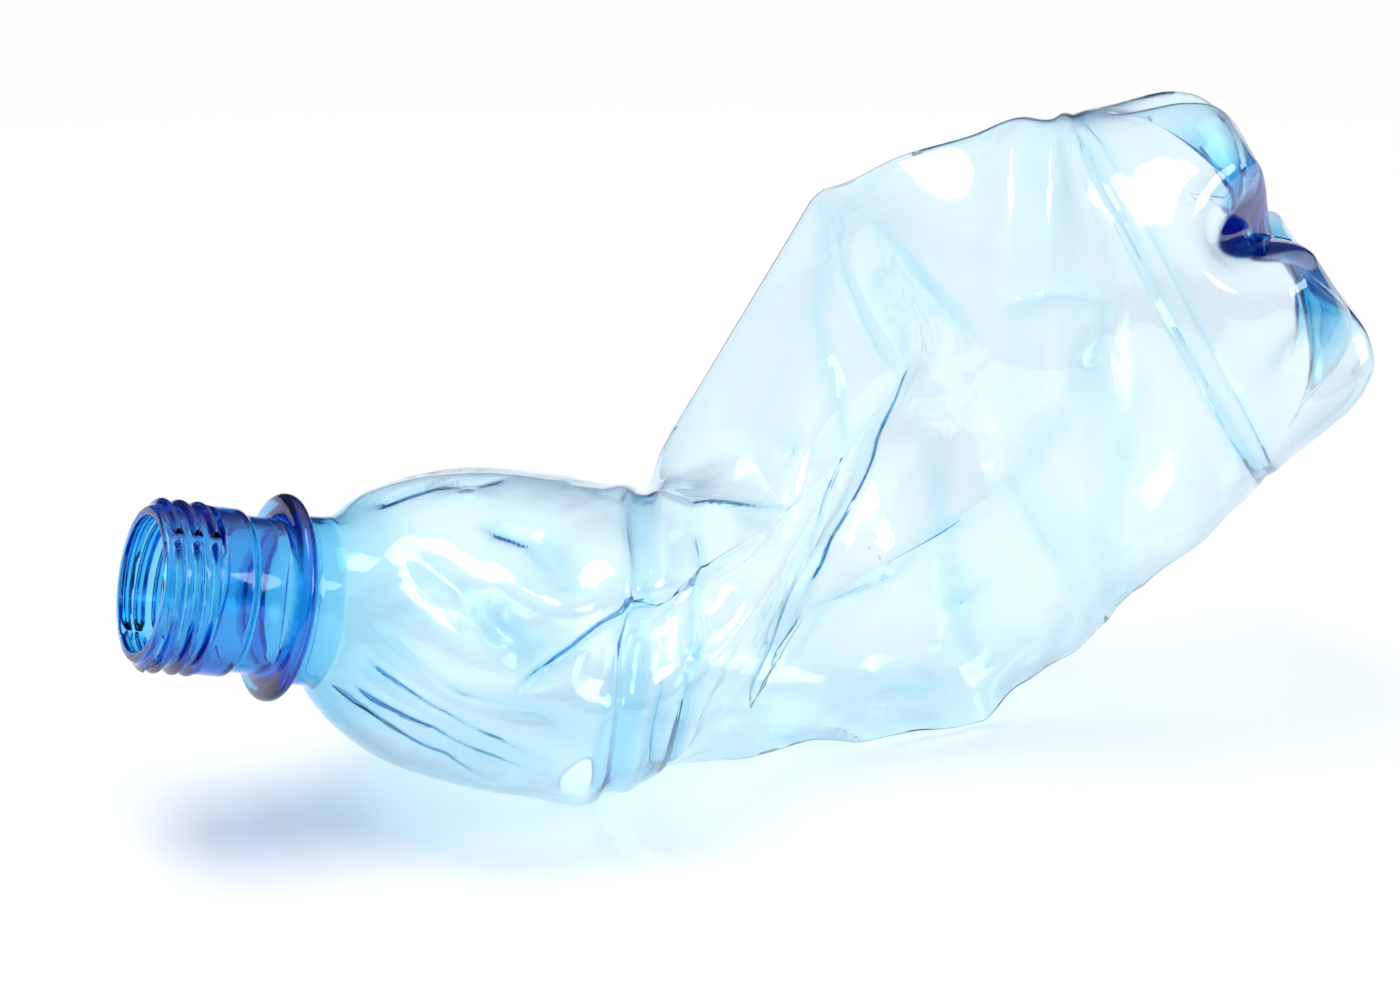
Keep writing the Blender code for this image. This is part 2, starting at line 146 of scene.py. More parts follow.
# Each row and its folds: how sharply the sheet turns across the row (crosswise) and across
# each column (lengthwise), from 0 to 1.
NET = [
    (GROOVE, {}, {4: 0.2, 9: 0.3}),
    (RING_LINE, {}, {0: 0.6, 3: 0.8, 4: 1.0, 5: 0.8, 9: 0.8}),
    (LOBE_TIP, {0: 0.3, 1: 0.8, 2: 1, 3: 1, 4: 1, 5: 0.6}, {0: 0.8, 3: 0.6, 4: 1.0, 9: 1.0}),
    (FIRST_FOLD, {0: 1, 1: 0.9, 2: 0.8, 3: 0.8, 4: 1, 5: 0.6, 6: 0.5}, {0: 1, 4: 1, 9: 1}),
    (SECOND_FOLD, {0: 1, 1: 0.8, 2: 1, 3: 1, 4: 1, 5: 1, 6: 1, 7: 1}, {0: 1, 3: 1, 7: 0.7, 9: 1}),
    (RIDGE, {4: 0.7, 5: 1, 6: 1, 7: 1, 8: 0.6}, {0: 1, 7: 0.8, 8: 0.6, 9: 1}),
    (BEND, {9: 1}, {0: 0.8, 6: 1, 8: 0.8, 9: 1}),
    (HEEL, {}, {0: 0.6, 6: 1, 9: 0.9}),
    (BAND_START, {}, {0: 0.3, 6: 0.8, 9: 0.7}),
    (BAND_END, {}, {0: 0.2, 6: 0.3, 9: 0.5}),
]
print("net rows:", len(SHOULDER) + len(NET) + 2, "points in a row:", FRONT_COLUMNS + BACK_COLUMNS)

# %% [markdown]
# ## From the net to a smooth sheet
# A subdivision surface would round every fold and pull away from the net. A curve through the
# points keeps them in place, and lets each point say how sharp it is: a smooth point has one
# direction, and a sharp one has two, so the sheet turns there as a crease does.

# %% Rings in frames of their own
FRONT_STEPS = 15  # fine columns to each net column down the front
BACK_STEPS = 6
RingFrame = namedtuple("RingFrame", "centre along up front")


def unit(vector):
    """The vector, or each vector of an array, at length one."""
    vector = np.asarray(vector, dtype=float)
    return vector / np.maximum(np.linalg.norm(vector, axis=-1, keepdims=True), 1e-9)


def ring_frame(centre, along):
    """Centre, long axis, upward and forward directions of a round part."""
    along = unit(along)
    up = unit(np.array([0.0, 0.0, 1.0]) - along[2] * along)
    return RingFrame(np.array(centre), along, up, np.cross(along, up))


def oval(ring_of, distance, half_height, half_width, angles):
    """Points around a frame's axis; angles run from the top, towards the front."""
    distance = np.broadcast_to(distance, angles.shape)[:, None]
    height = (half_height * np.cos(angles))[:, None]
    width = (half_width * np.sin(angles))[:, None]
    return ring_of.centre + ring_of.along * distance + ring_of.up * height + ring_of.front * width


def column_angles(front_steps, back_steps):
    """Angles of the columns on a round row, closer together on the front half."""
    front = np.linspace(0.0, math.pi, FRONT_COLUMNS * front_steps, endpoint=False)
    back = np.linspace(math.pi, math.tau, BACK_COLUMNS * back_steps, endpoint=False)
    return np.concatenate([front, back])


def fine_angles():
    """Angles of the sheet's own fine columns."""
    return column_angles(FRONT_STEPS, BACK_STEPS)


neck = ring_frame(NECK_CENTRE, NECK_TO_BODY)
base = ring_frame(BASE_CENTRE, BODY_TO_BASE)
print("fine columns:", len(fine_angles()))

# %% Curves between the points


def tangents(before, here, after, sharp):
    """Leaving and arriving directions at each point; a sharp point has two."""
    back = unit(here - before)
    ahead = unit(after - here)
    step_back = np.linalg.norm(here - before, axis=-1, keepdims=True)
    step_ahead = np.linalg.norm(after - here, axis=-1, keepdims=True)
    smooth = unit(back * step_ahead + ahead * step_back)
    sharp = np.asarray(sharp)[..., None]
    leaving = unit(smooth * (1.0 - sharp) + ahead * sharp)
    arriving = unit(smooth * (1.0 - sharp) + back * sharp)
    return leaving, arriving


def span(start, end, leaving, arriving, steps):
    """Points of a curve from start up to, and not including, end."""
    chord = np.linalg.norm(end - start, axis=-1, keepdims=True)
    points = []
    for step in range(steps):
        t = step / steps
        points.append(start * (2 * t**3 - 3 * t**2 + 1) + end * (3 * t**2 - 2 * t**3)
                      + leaving * chord * (t**3 - 2 * t**2 + t)
                      + arriving * chord * (t**3 - t**2))
    return points


right = np.array([1.0, 0.0])
up = np.array([0.0, 1.0])
print("half way along a quarter turn:", span(right, up, up, -right, 2)[1].round(3))

# %% Fine rows and columns
ROW_SPACING = 0.95  # millimetres between fine rows of the body


def fold_weights(marks):
    """Fold sharpness of every column of a net row."""
    weights = np.zeros(FRONT_COLUMNS + BACK_COLUMNS)
    for column, sharpness in marks.items():
        weights[column] = sharpness
    return weights


def refine_rows(net, crosswise, lengthwise):
    """Fine rows between the rows of the net, and the folds that each of them crosses."""
    before = np.concatenate([2 * net[:1] - net[1:2], net[:-1]])
    after = np.concatenate([net[1:], 2 * net[-1:] - net[-2:-1]])
    leaving, arriving = tangents(before, net, after, crosswise)
    rows = []
    folds = []
    places = []
    for i in range(len(net) - 1):
        reach = np.linalg.norm(net[i + 1] - net[i], axis=-1).mean()
        count = max(1, round(reach / ROW_SPACING))
        rows += span(net[i], net[i + 1], leaving[i], arriving[i + 1], count)
        for step in range(count):
            folds.append(lengthwise[i] + (lengthwise[i + 1] - lengthwise[i]) * step / count)
            places.append(i + step / count)
    return rows + [net[-1]], folds + [lengthwise[-1]], places + [len(net) - 1.0]


def refine_columns(row, fold):
    """Fine columns between the points of one closed row."""
    before = np.roll(row, 1, axis=0)
    after = np.roll(row, -1, axis=0)
    leaving, arriving = tangents(before, row, after, fold)
    arriving = np.roll(arriving, -1, axis=0)
    points = []
    for column in range(len(row)):
        steps = FRONT_STEPS if column < FRONT_COLUMNS else BACK_STEPS
        points += span(row[column], after[column], leaving[column], arriving[column], steps)
    return np.array(points)


print("fine rows are", ROW_SPACING, "mm apart")

# %% The body sheet
BARREL_SWELL = 0.05
BARREL_REACH = 20.0  # a shorter barrel than this swells less
FLAP_DENT_COLUMN = 5
SHOULDER_DENT = (-10.0, -42.5, 35.5)  # the dent under the flap is shallow on the shoulder


def shoulder_net():
    """Net rows of the shoulder: rings near the neck that take on the crushed shape."""
    crushed = np.array(GROOVE, dtype=float)
    reach = np.dot(crushed.mean(axis=0) - neck.centre, neck.along)
    crushed[FLAP_DENT_COLUMN] = SHOULDER_DENT
    rows = []
    for distance, half_height, half_width, sunk, share in SHOULDER:
        angles = column_angles(1, 1)
        rounded = oval(neck, distance, half_height, half_width, angles) - neck.up * sunk
        flattened = crushed - neck.along * (reach - distance)
        rows.append(rounded * (1.0 - share) + flattened * share)
    return rows


def body_sheet():
    """Fine rows of the body, and the place of each between the rows of the net."""
    ring_line = oval(base, 0.0, BASE_RADIUS, BASE_RADIUS, column_angles(1, 1))
    barrel = (np.array(BAND_END) + ring_line) / 2
    reach = np.linalg.norm(ring_line - np.array(BAND_END), axis=1, keepdims=True)
    barrel += (barrel - barrel.mean(axis=0)) * BARREL_SWELL * np.minimum(reach / BARREL_REACH, 1.0)
    net = np.array(shoulder_net() + [row for row, _, _ in NET] + [barrel, ring_line], dtype=float)
    plain = [fold_weights({})]
    across = plain * len(SHOULDER) + [fold_weights(marks) for _, marks, _ in NET] + plain * 2
    along = plain * len(SHOULDER) + [fold_weights(marks) for _, _, marks in NET] + plain * 2
    rows, folds, places = refine_rows(net, np.array(across), np.array(along))
    return np.array([refine_columns(row, fold) for row, fold in zip(rows, folds)]), np.array(places)


body, body_places = body_sheet()
print("body rows:", len(body))

# %% [markdown]
# ## The neck
# The neck is injection-moulded before the bottle is blown, so it is a true turned shape: a
# rim, a plain wall for the thread, a smooth band that once held the tamper ring, and the
# support ring. It is made as rows of rings from a list of heights and radii, with close rows
# where an edge is crisp.

# %% Neck rows
RIM_HEIGHT = 22.2
BORE_RADIUS = 10.85
ROOT_RADIUS = 12.45
THREAD_ROWS = 40
THREAD_ZONE = (21.0, 13.3)  # heights of its first and last fine row
NECK_UPPER = [
    (RIM_HEIGHT, 11.15), (RIM_HEIGHT, 11.75), (22.1, 12.1), (21.8, 12.35), (21.4, ROOT_RADIUS),
]
NECK_LOWER = [
    (13.0, 12.5), (12.85, 12.75), (12.7, 13.1), (12.45, 13.28), (12.1, 13.3), (10.0, 13.3),
    (8.6, 13.3), (8.0, 13.28), (7.7, 13.1), (7.45, 12.75), (7.1, 12.5), (6.6, ROOT_RADIUS),
    (4.0, ROOT_RADIUS), (2.3, ROOT_RADIUS), (1.8, 12.65), (1.5, 13.2), (1.35, 14.6),
    (1.2, 15.6), (0.9, 16.2), (0.4, 16.5), (-0.4, 16.5), (-0.9, 16.2), (-1.2, 15.6),
    (-1.35, 14.6), (-1.6, 13.7), (-2.2, 13.4), (-3.4, 13.4), (-4.6, 13.42),
    (-5.8, 13.45), (-6.6, 13.5),
]
BORE = [
    (RIM_HEIGHT, 11.0), (22.1, BORE_RADIUS), (18.0, BORE_RADIUS), (12.0, BORE_RADIUS),
    (6.0, BORE_RADIUS), (1.5, 10.9), (-0.2, 11.2), (-1.6, 11.8), (-3.0, 12.1), (-4.6, 12.15),
    (-5.8, 12.3), (-6.6, 12.6),
]


def turned(profile):
    """Rings of the neck at each height and radius."""
    return np.array([oval(neck, -height, radius, radius, fine_angles()) for height, radius in profile])


thread_heights = np.linspace(*THREAD_ZONE, THREAD_ROWS)
neck_rows = turned(NECK_UPPER + [(height, ROOT_RADIUS) for height in thread_heights] + NECK_LOWER)
bore_rows = turned(BORE)
print("neck rows:", len(neck_rows), "bore rows:", len(bore_rows))

# %% [markdown]
# ## The base
# A base for a fizzy drink has five feet with a deep valley between each two, because a flat
# base would bulge out. Each row is first made along the valleys. The place that each point
# has on a foot is kept beside it, and a Geometry Nodes tree later lifts five feet out.

# %% Base rows
BASE_SKEW = 0.06
BASE_ROWS = 46
MIDDLE_DISTANCE = 20.2
FEET = 5
FIRST_VALLEY = 64.0  # degrees from the top edge, where the valley meets the barrel
VALLEY_LEAN = 10.0  # degrees that a valley turns back on its way to the middle
VALLEY_HALF_WIDTH = 17.0
OPEN_HALF_WIDTH = 25.0
OPENED_REACH = 30.0  # degrees to each side of the first valley that were pushed open
OPENED_FADE = 8.0
BACK_DENT = 0.12  # how much nearer the feet on the back have been pushed
FOOT = [(0.0, BASE_RADIUS), (6.0, 32.7), (12.0, 31.5), (18.0, 29.6), (22.2, 26.4),
        (23.9, 21.6), (23.4, 15.5), (21.7, 8.5), (MIDDLE_DISTANCE, 0.0)]
VALLEY = [(0.0, BASE_RADIUS), (4.0, 32.9), (8.0, 30.3), (12.0, 26.3), (15.2, 21.6),
          (17.6, 16.2), (19.2, 10.8), (20.0, 5.6), (MIDDLE_DISTANCE, 0.0)]
OPEN_VALLEY = [(0.0, BASE_RADIUS), (4.4, 33.6), (7.8, 32.9), (9.6, 30.8), (11.0, 26.6),
               (13.2, 20.8), (16.0, 14.2), (18.6, 7.4), (MIDDLE_DISTANCE, 0.0)]
PROFILE_STEPS = 40  # steps of the curve between two points of a profile


def profile_curve(points, count):
    """Even steps along a smooth curve through a profile, without its two ends."""
    points = np.array(points)
    before = np.concatenate([2 * points[:1] - points[1:2], points[:-1]])
    after = np.concatenate([points[1:], points[-2:-1] * (1.0, -1.0)])  # the far side of the middle
    leaving, arriving = tangents(before, points, after, np.zeros(len(points)))
    fine = []
    for i in range(len(points) - 1):
        fine += span(points[i], points[i + 1], leaving[i], arriving[i + 1], PROFILE_STEPS)
    fine = np.array(fine + [points[-1]])
    walked = np.concatenate([[0.0], np.cumsum(np.linalg.norm(np.diff(fine, axis=0), axis=1))])
    wanted = np.linspace(0.0, walked[-1], count + 2)[1:-1]
    return np.stack([np.interp(wanted, walked, fine[:, k]) for k in range(2)], axis=1)


def base_sheet(profile):
    """Rows of the base with the same profile all around."""
    angles = fine_angles()
    skew = 1.0 - BASE_SKEW * np.cos(angles) - BACK_DENT * np.maximum(-np.sin(angles), 0.0)
    rows = [oval(base, distance * skew, radius, radius, angles)
            for distance, radius in profile_curve(profile, BASE_ROWS)]
    return np.array(rows)


def from_first_valley():
    """Degrees from the first valley to every point of the base's rows."""
    lean = VALLEY_LEAN * (np.linalg.norm(foot_flat, axis=-1) / BASE_RADIUS - 1.0)
    return (np.degrees(fine_angles()) - FIRST_VALLEY - lean + 180.0) % 360.0 - 180.0


def smooth_step(value):
    """Zero up to zero, one from one on, and smooth between."""
    value = np.clip(value, 0.0, 1.0)
    return value * value * (3.0 - 2.0 * value)


foot_rows = base_sheet(FOOT)
foot_flat = foot_rows - base.centre - ((foot_rows - base.centre) @ base.along)[..., None] * base.along
opened = 1.0 - smooth_step((np.abs(from_first_valley()) - OPENED_REACH) / OPENED_FADE)
closed_share = (1.0 - opened)[..., None]
valley_rows = base_sheet(VALLEY) * closed_share + base_sheet(OPEN_VALLEY) * opened[..., None]
valley_turn = (from_first_valley() / 360.0) % 1.0
valley_width = (VALLEY_HALF_WIDTH + (OPEN_HALF_WIDTH - VALLEY_HALF_WIDTH) * opened) / 360.0
print("base rows:", len(valley_rows))

# %% [markdown]
# ## One sheet, with its facts on its points
# Geometry Nodes read facts from the points they move: how far along the bottle a point is,
# how far around, which way is outward there, and where it would be on a foot. They are
# written once here, as named attributes on the points of one open sheet.

# %% Rows and columns of the sheet
FIRST_BODY = len(neck_rows)
FIRST_BASE = FIRST_BODY + len(body)
outer_start = np.concatenate([neck_rows, body, valley_rows]) - ORIGIN
foot_places = np.concatenate([neck_rows, body, foot_rows]) - ORIGIN
ROWS, COLUMNS = outer_start.shape[:2]


def sheet_normals(grid):
    """Outward direction at every point of a closed band of rows."""
    around = np.roll(grid, -1, axis=1) - np.roll(grid, 1, axis=1)
    along = np.gradient(grid, axis=0)
    return unit(np.cross(around, along))


def band_faces(first, second):
    """Corner numbers of the quads between two rows, from the numbers of their points."""
    return np.stack([first, np.roll(first, -1), np.roll(second, -1), second], axis=1)


def grid_faces(rows, columns):
    """Corner numbers of all the quads of the sheet, row by row."""
    numbers = np.arange(rows * columns).reshape(rows, columns)
    return np.concatenate([band_faces(numbers[i], numbers[i + 1]) for i in range(rows - 1)])


print("sheet:", ROWS, "rows of", COLUMNS, "points")

# %% Facts about the rows
CRUMPLED = [(0, 0.0), (5, 0.15), (8, 0.5), (12, 1.0), (18, 1.0)]  # place in the net, and share
TOP_EDGE_REACH = 0.5  # radians from the top edge, which is hardly crumpled
BACK_FROM = 170.0  # degrees from the top edge, where the back begins
BACK_FADE = 20.0


def base_fact(values):
    """A fact of the base's points, and zero for the points above it."""
    return np.concatenate([np.zeros((FIRST_BASE, COLUMNS)), values]).ravel()


def row_fact(first, last):
    """One for the rows from first up to last, and zero for the others."""
    rows = np.arange(ROWS)
    return np.repeat(((rows >= first) & (rows < last)).astype(float), COLUMNS)


def groove_row():
    """Number of the sheet row that the groove at the end of the flutes runs along."""
    return FIRST_BODY + int(np.argmin(np.abs(body_places - len(SHOULDER))))


def from_top_edge():
    """Angle from the top edge to every fine column, the short way round."""
    return np.minimum(fine_angles(), math.tau - fine_angles())


def crushed_share():
    """How crumpled each row is: hardly on the shoulder, most in the middle, not on the base."""
    places, shares = zip(*CRUMPLED, (body_places[-1], 0.0))
    rows = np.zeros(ROWS)
    rows[FIRST_BODY:FIRST_BASE] = np.interp(body_places, places, shares)
    return np.outer(rows, smooth_step(from_top_edge() / TOP_EDGE_REACH)).ravel()


def back_share():
    """One on the back of the bottle and zero on the front, with a soft change."""
    degrees = np.degrees(fine_angles())
    turned_back = smooth_step((degrees - BACK_FROM) / BACK_FADE)
    return np.tile(turned_back * smooth_step((360.0 - degrees) / BACK_FADE), ROWS)


print("the groove is row", groove_row())

# %% The sheet and its facts


def put_fact(mesh, name, values):
    """Write one number or one vector for each point, as a named attribute."""
    values = np.asarray(values, dtype=np.float32)
    vector = values.ndim == 2
    attribute = mesh.attributes.new(name, "FLOAT_VECTOR" if vector else "FLOAT", "POINT")
    attribute.data.foreach_set("vector" if vector else "value", values.ravel())


from_ring = (outer_start + ORIGIN - neck.centre) @ neck.along
sheet_mesh = bpy.data.meshes.new("sheet")
sheet_mesh.from_pydata((outer_start * MM).reshape(-1, 3), [], grid_faces(ROWS, COLUMNS).tolist())
put_fact(sheet_mesh, "turn", np.tile(fine_angles() / math.tau, ROWS))
put_fact(sheet_mesh, "distance", from_ring.ravel() * MM)
put_fact(sheet_mesh, "place", (outer_start * MM).reshape(-1, 3))
put_fact(sheet_mesh, "outward", sheet_normals(outer_start).reshape(-1, 3))
put_fact(sheet_mesh, "foot_place", (foot_places * MM).reshape(-1, 3))
put_fact(sheet_mesh, "on_neck", row_fact(0, FIRST_BODY))
put_fact(sheet_mesh, "on_shoulder", row_fact(FIRST_BODY, groove_row()) * back_share())
put_fact(sheet_mesh, "crushed", crushed_share())
put_fact(sheet_mesh, "thicker", np.zeros(ROWS * COLUMNS))
put_fact(sheet_mesh, "valley_turn", base_fact(valley_turn))
put_fact(sheet_mesh, "valley_width", base_fact(valley_width) + row_fact(0, FIRST_BASE))
sheet = bpy.data.objects.new("sheet", sheet_mesh)
bpy.context.scene.collection.objects.link(sheet)
print("facts:", [fact.name for fact in sheet_mesh.attributes if not fact.is_internal])

# %% [markdown]
# ## The plastic
# PET takes red out of light much faster than green, and green faster than blue, so a thick
# wall is deep blue and a thin one is nearly clear. A painted colour could not do that. The
# surface is plain clear plastic, and an absorbing volume inside the wall gives the colour
# from the wall's thickness. The reflections are given a painted cool tint, which stands in
# for the blue that light picks up as it bounces between the many skins of a fold. Two fine
# noises stand for the faint orange-peel of blown plastic and for the scuffs a crushed bottle picks up.

# %% Plastic material
ABSORBED = (980.0, 270.0, 62.0)  # how strongly a metre of plastic takes red, green and blue
PLASTIC_IOR = 1.575
# painted cool tint on every reflection, standing in for blue light bounced between the skins
PAINTED_REFLECTION_TINT = (0.78, 0.86, 1.0, 1.0)
SMOOTHEST = 0.02
SCUFFED = 0.10
SCUFF_SCALE = 90.0  # patches to a metre
PEEL_SCALE = 260.0
PEEL_HEIGHT = 0.12 * MM
PEEL_STRENGTH = 0.25


def pet_material():
    """Clear plastic that takes its colour from its thickness."""
    material = bpy.data.materials.new("blue_pet")
    material.use_nodes = True
    nodes = material.node_tree.nodes
    links = material.node_tree.links
    shader = nodes["Principled BSDF"]
    shader.inputs["Base Color"].default_value = (1.0, 1.0, 1.0, 1.0)
    shader.inputs["IOR"].default_value = PLASTIC_IOR
    shader.inputs["Transmission Weight"].default_value = 1.0
    shader.inputs["Specular Tint"].default_value = PAINTED_REFLECTION_TINT
    place = nodes.new("ShaderNodeTexCoord")
    scuffs = nodes.new("ShaderNodeTexNoise")
    scuffs.inputs["Scale"].default_value = SCUFF_SCALE
    scuffs.inputs["Detail"].default_value = 6.0
    scuffs.inputs["Roughness"].default_value = 0.6
    rough = nodes.new("ShaderNodeMapRange")
    rough.inputs["From Min"].default_value = 0.35
    rough.inputs["From Max"].default_value = 0.75
    rough.inputs["To Min"].default_value = SMOOTHEST
    rough.inputs["To Max"].default_value = SCUFFED
    peel = nodes.new("ShaderNodeTexNoise")
    peel.inputs["Scale"].default_value = PEEL_SCALE
    peel.inputs["Detail"].default_value = 2.0
    bump = nodes.new("ShaderNodeBump")
    bump.inputs["Strength"].default_value = PEEL_STRENGTH
    bump.inputs["Distance"].default_value = PEEL_HEIGHT
    links.new(place.outputs["Object"], scuffs.inputs["Vector"])
    links.new(place.outputs["Object"], peel.inputs["Vector"])
    links.new(scuffs.outputs["Fac"], rough.inputs["Value"])
    links.new(rough.outputs["Result"], shader.inputs["Roughness"])
    links.new(peel.outputs["Fac"], bump.inputs["Height"])
    links.new(bump.outputs["Normal"], shader.inputs["Normal"])
    inside = nodes.new("ShaderNodeVolumeAbsorption")
    density = max(ABSORBED)
    inside.inputs["Density"].default_value = density
    inside.inputs["Color"].default_value = (*[1.0 - taken / density for taken in ABSORBED], 1.0)
    output = nodes["Material Output"]
    links.new(inside.outputs["Volume"], output.inputs["Volume"])
    return material


blue_pet = pet_material()
print("plastic absorbs per millimetre:", [taken * MM for taken in ABSORBED])

# %% [markdown]
# ## Geometry Nodes for what repeats or follows a line
# The thread, the flutes, the feet and every pressed line follow a rule, so each is a tree of
# nodes that moves the sheet's points. A small helper adds a node and gives back its output,
# so that a tree reads like the sum it stands for. Each tree has named inputs, and ends in
# Realize Instances and Set Material.

# %% A helper that builds trees


class Tree:
    """One Geometry Nodes tree; each method adds a node and gives back what it makes."""

    def __init__(self, name, inputs):
        self.group = bpy.data.node_groups.new(name, "GeometryNodeTree")
        faces = self.group.interface
        faces.new_socket("Geometry", in_out="INPUT", socket_type="NodeSocketGeometry")
        faces.new_socket("Geometry", in_out="OUTPUT", socket_type="NodeSocketGeometry")
        self.sockets = {}
        for label, kind in inputs.items():
            kind = "NodeSocket" + kind
            self.sockets[label] = faces.new_socket(label, in_out="INPUT", socket_type=kind)
        self.start = self.group.nodes.new("NodeGroupInput")

    def node(self, kind, **settings):
        """A node of a kind, with its settings."""
        made = self.group.nodes.new(kind)
        for setting, value in settings.items():
            setattr(made, setting, value)
        return made

    def feed(self, socket, value):
        """Link a socket to another one, or set it to a plain value."""
        if isinstance(value, bpy.types.NodeSocket):
            self.group.links.new(value, socket)
        else:
            socket.default_value = value

    def given(self, label):
        """What was given for one of the tree's own inputs."""
        return self.start.outputs[label]

    def math(self, operation, *values):
        """A sum on plain numbers."""
        made = self.node("ShaderNodeMath", operation=operation)
        for socket, value in zip(made.inputs, values):
            self.feed(socket, value)
        return made.outputs[0]

    def vector(self, operation, first, second):
        """A sum on vectors; SCALE takes a plain number second."""
        made = self.node("ShaderNodeVectorMath", operation=operation)
        self.feed(made.inputs[0], first)
        self.feed(made.inputs["Scale"] if operation == "SCALE" else made.inputs[1], second)
        return made.outputs[0]

    def fact(self, name, kind="FLOAT"):
        """A fact that was written on the points."""
        made = self.node("GeometryNodeInputNamedAttribute", data_type=kind)
        made.inputs["Name"].default_value = name
        return made.outputs["Attribute"]

    def ramp(self, value, low, high):
        """Zero at low, one at high, and smooth between."""
        made = self.node("ShaderNodeMapRange", interpolation_type="SMOOTHSTEP")
        for label, wanted in (("Value", value), ("From Min", low), ("From Max", high)):
            self.feed(made.inputs[label], wanted)
        return made.outputs["Result"]

    def outward(self, amount):
        """A move along the sheet's own outward direction."""
        return self.vector("SCALE", self.fact("outward", "FLOAT_VECTOR"), amount)

    def move(self, offset, fact=None):
        """Move the points, write a new value of one fact if there is one, and finish the tree."""
        mover = self.node("GeometryNodeSetPosition")
        self.feed(mover.inputs["Offset"], offset)
        geometry = self.given("Geometry")
        if fact is not None:
            writer = self.node("GeometryNodeStoreNamedAttribute", data_type="FLOAT")
            writer.inputs["Name"].default_value = fact[0]
            self.feed(writer.inputs["Geometry"], geometry)
            self.feed(writer.inputs["Value"], fact[1])
            geometry = writer.outputs["Geometry"]
        self.feed(mover.inputs["Geometry"], geometry)
        real = self.node("GeometryNodeRealizeInstances")
        painted = self.node("GeometryNodeSetMaterial")
        painted.inputs["Material"].default_value = blue_pet
        end = self.node("NodeGroupOutput")
        self.feed(real.inputs["Geometry"], mover.outputs["Geometry"])
        self.feed(painted.inputs["Geometry"], real.outputs["Geometry"])
        self.feed(end.inputs["Geometry"], painted.outputs["Geometry"])

    def use(self, piece, **values):
        """Put the tree on a piece; words in an input's name are joined by underscores."""
        modifier = piece.modifiers.new(self.group.name, "NODES")
        modifier.node_group = self.group
        for label, value in values.items():
            modifier[self.sockets[label.replace("_", " ")].identifier] = value


print("a tree can", [name for name in vars(Tree) if not name.startswith("_")])

# %% [markdown]
# ## Five feet
# How far a point is from the nearest valley, measured around the base, says how much of a foot
# it is: nothing in the valley, and all of it past the valley's edge.

# %% Feet
feet = Tree("feet", {"Feet": "Float", "Widening": "Float"})
lobe = feet.math("DIVIDE", 1.0, feet.given("Feet"))
half_lobe = feet.math("DIVIDE", lobe, 2.0)
away = feet.math("WRAP", feet.fact("valley_turn"), half_lobe, feet.math("MULTIPLY", half_lobe, -1.0))
width = feet.math("MULTIPLY", feet.fact("valley_width"), feet.given("Widening"))
on_foot = feet.ramp(feet.math("ABSOLUTE", away), 0.0, width)
foot_place = feet.fact("foot_place", "FLOAT_VECTOR")
reach = feet.vector("SUBTRACT", foot_place, feet.fact("place", "FLOAT_VECTOR"))
feet.move(offset=feet.vector("SCALE", reach, on_foot))
feet.use(sheet, Feet=float(FEET), Widening=1.0)
print("feet:", FEET)

# %% [markdown]
# ## The screw thread
# The thread is one ridge that winds down the neck. At each point the tree asks which turn of
# the winding is nearest, and how far away it is. The ridge stops on both sides of a narrow
# slot where the two halves of the mould meet, which also lets gas out as a cap is opened.

# %% Thread
THREAD_TOP = 20.2  # millimetres above the support ring
THREAD_PITCH = 3.0
THREAD_TURNS = 2.25
THREAD_DEPTH = 1.25
THREAD_SLOTS = 2
thread = Tree("thread", {
    "Top": "Float", "Pitch": "Float", "Depth": "Float", "Turns": "Float", "Half Width": "Float",
    "Edge": "Float", "Slots": "Float", "First Slot": "Float", "Slot Half Width": "Float",
})
turn = thread.fact("turn")
# How many turns down from the top the point is, and how many the nearest winding is.
height = thread.math("MULTIPLY", thread.fact("distance"), -1.0)
down = thread.math("DIVIDE", thread.math("SUBTRACT", thread.given("Top"), height), thread.given("Pitch"))
nearest = thread.math("ADD", thread.math("ROUND", thread.math("SUBTRACT", down, turn)), turn)
nearest = thread.math("MINIMUM", thread.math("MAXIMUM", nearest, 0.0), thread.given("Turns"))
away = thread.math("ABSOLUTE", thread.math("SUBTRACT", down, nearest))
away = thread.math("MULTIPLY", away, thread.given("Pitch"))
# Full height at the winding's middle, and nothing past its half width.
inner_edge = thread.math("SUBTRACT", thread.given("Half Width"), thread.given("Edge"))
ridge = thread.math("SUBTRACT", 1.0, thread.ramp(away, inner_edge, thread.given("Half Width")))
# Nothing in the slots, which lie at even turns around the neck.
slot = thread.math("SUBTRACT", turn, thread.given("First Slot"))
slot = thread.math("MULTIPLY", slot, thread.given("Slots"))
slot = thread.math("ABSOLUTE", thread.math("WRAP", slot, 0.5, -0.5))
slot = thread.math("DIVIDE", slot, thread.given("Slots"))
twice = thread.math("MULTIPLY", thread.given("Slot Half Width"), 2.0)
ridge = thread.math("MULTIPLY", ridge, thread.ramp(slot, thread.given("Slot Half Width"), twice))
ridge = thread.math("MULTIPLY", ridge, thread.fact("on_neck"))
ridge = thread.math("MULTIPLY", ridge, thread.given("Depth"))
thread.move(offset=thread.outward(ridge))
thread.use(
    sheet, Top=THREAD_TOP * MM, Pitch=THREAD_PITCH * MM, Depth=THREAD_DEPTH * MM,
    Turns=THREAD_TURNS, Half_Width=1.15 * MM, Edge=1.05 * MM, Slots=float(THREAD_SLOTS),
    First_Slot=32.0 / 360.0, Slot_Half_Width=2.2 / 360.0,
)
print("thread:", THREAD_TURNS, "turns of", THREAD_PITCH, "mm")

# %% [markdown]
# ## Spiral flutes
# Twelve flutes wind down the shoulder, and stiffen it. Between two flutes the sheet is pressed
# in to a crisp line, and both ends of the line fade out. The tree makes those on the back,
# which still have their even order.

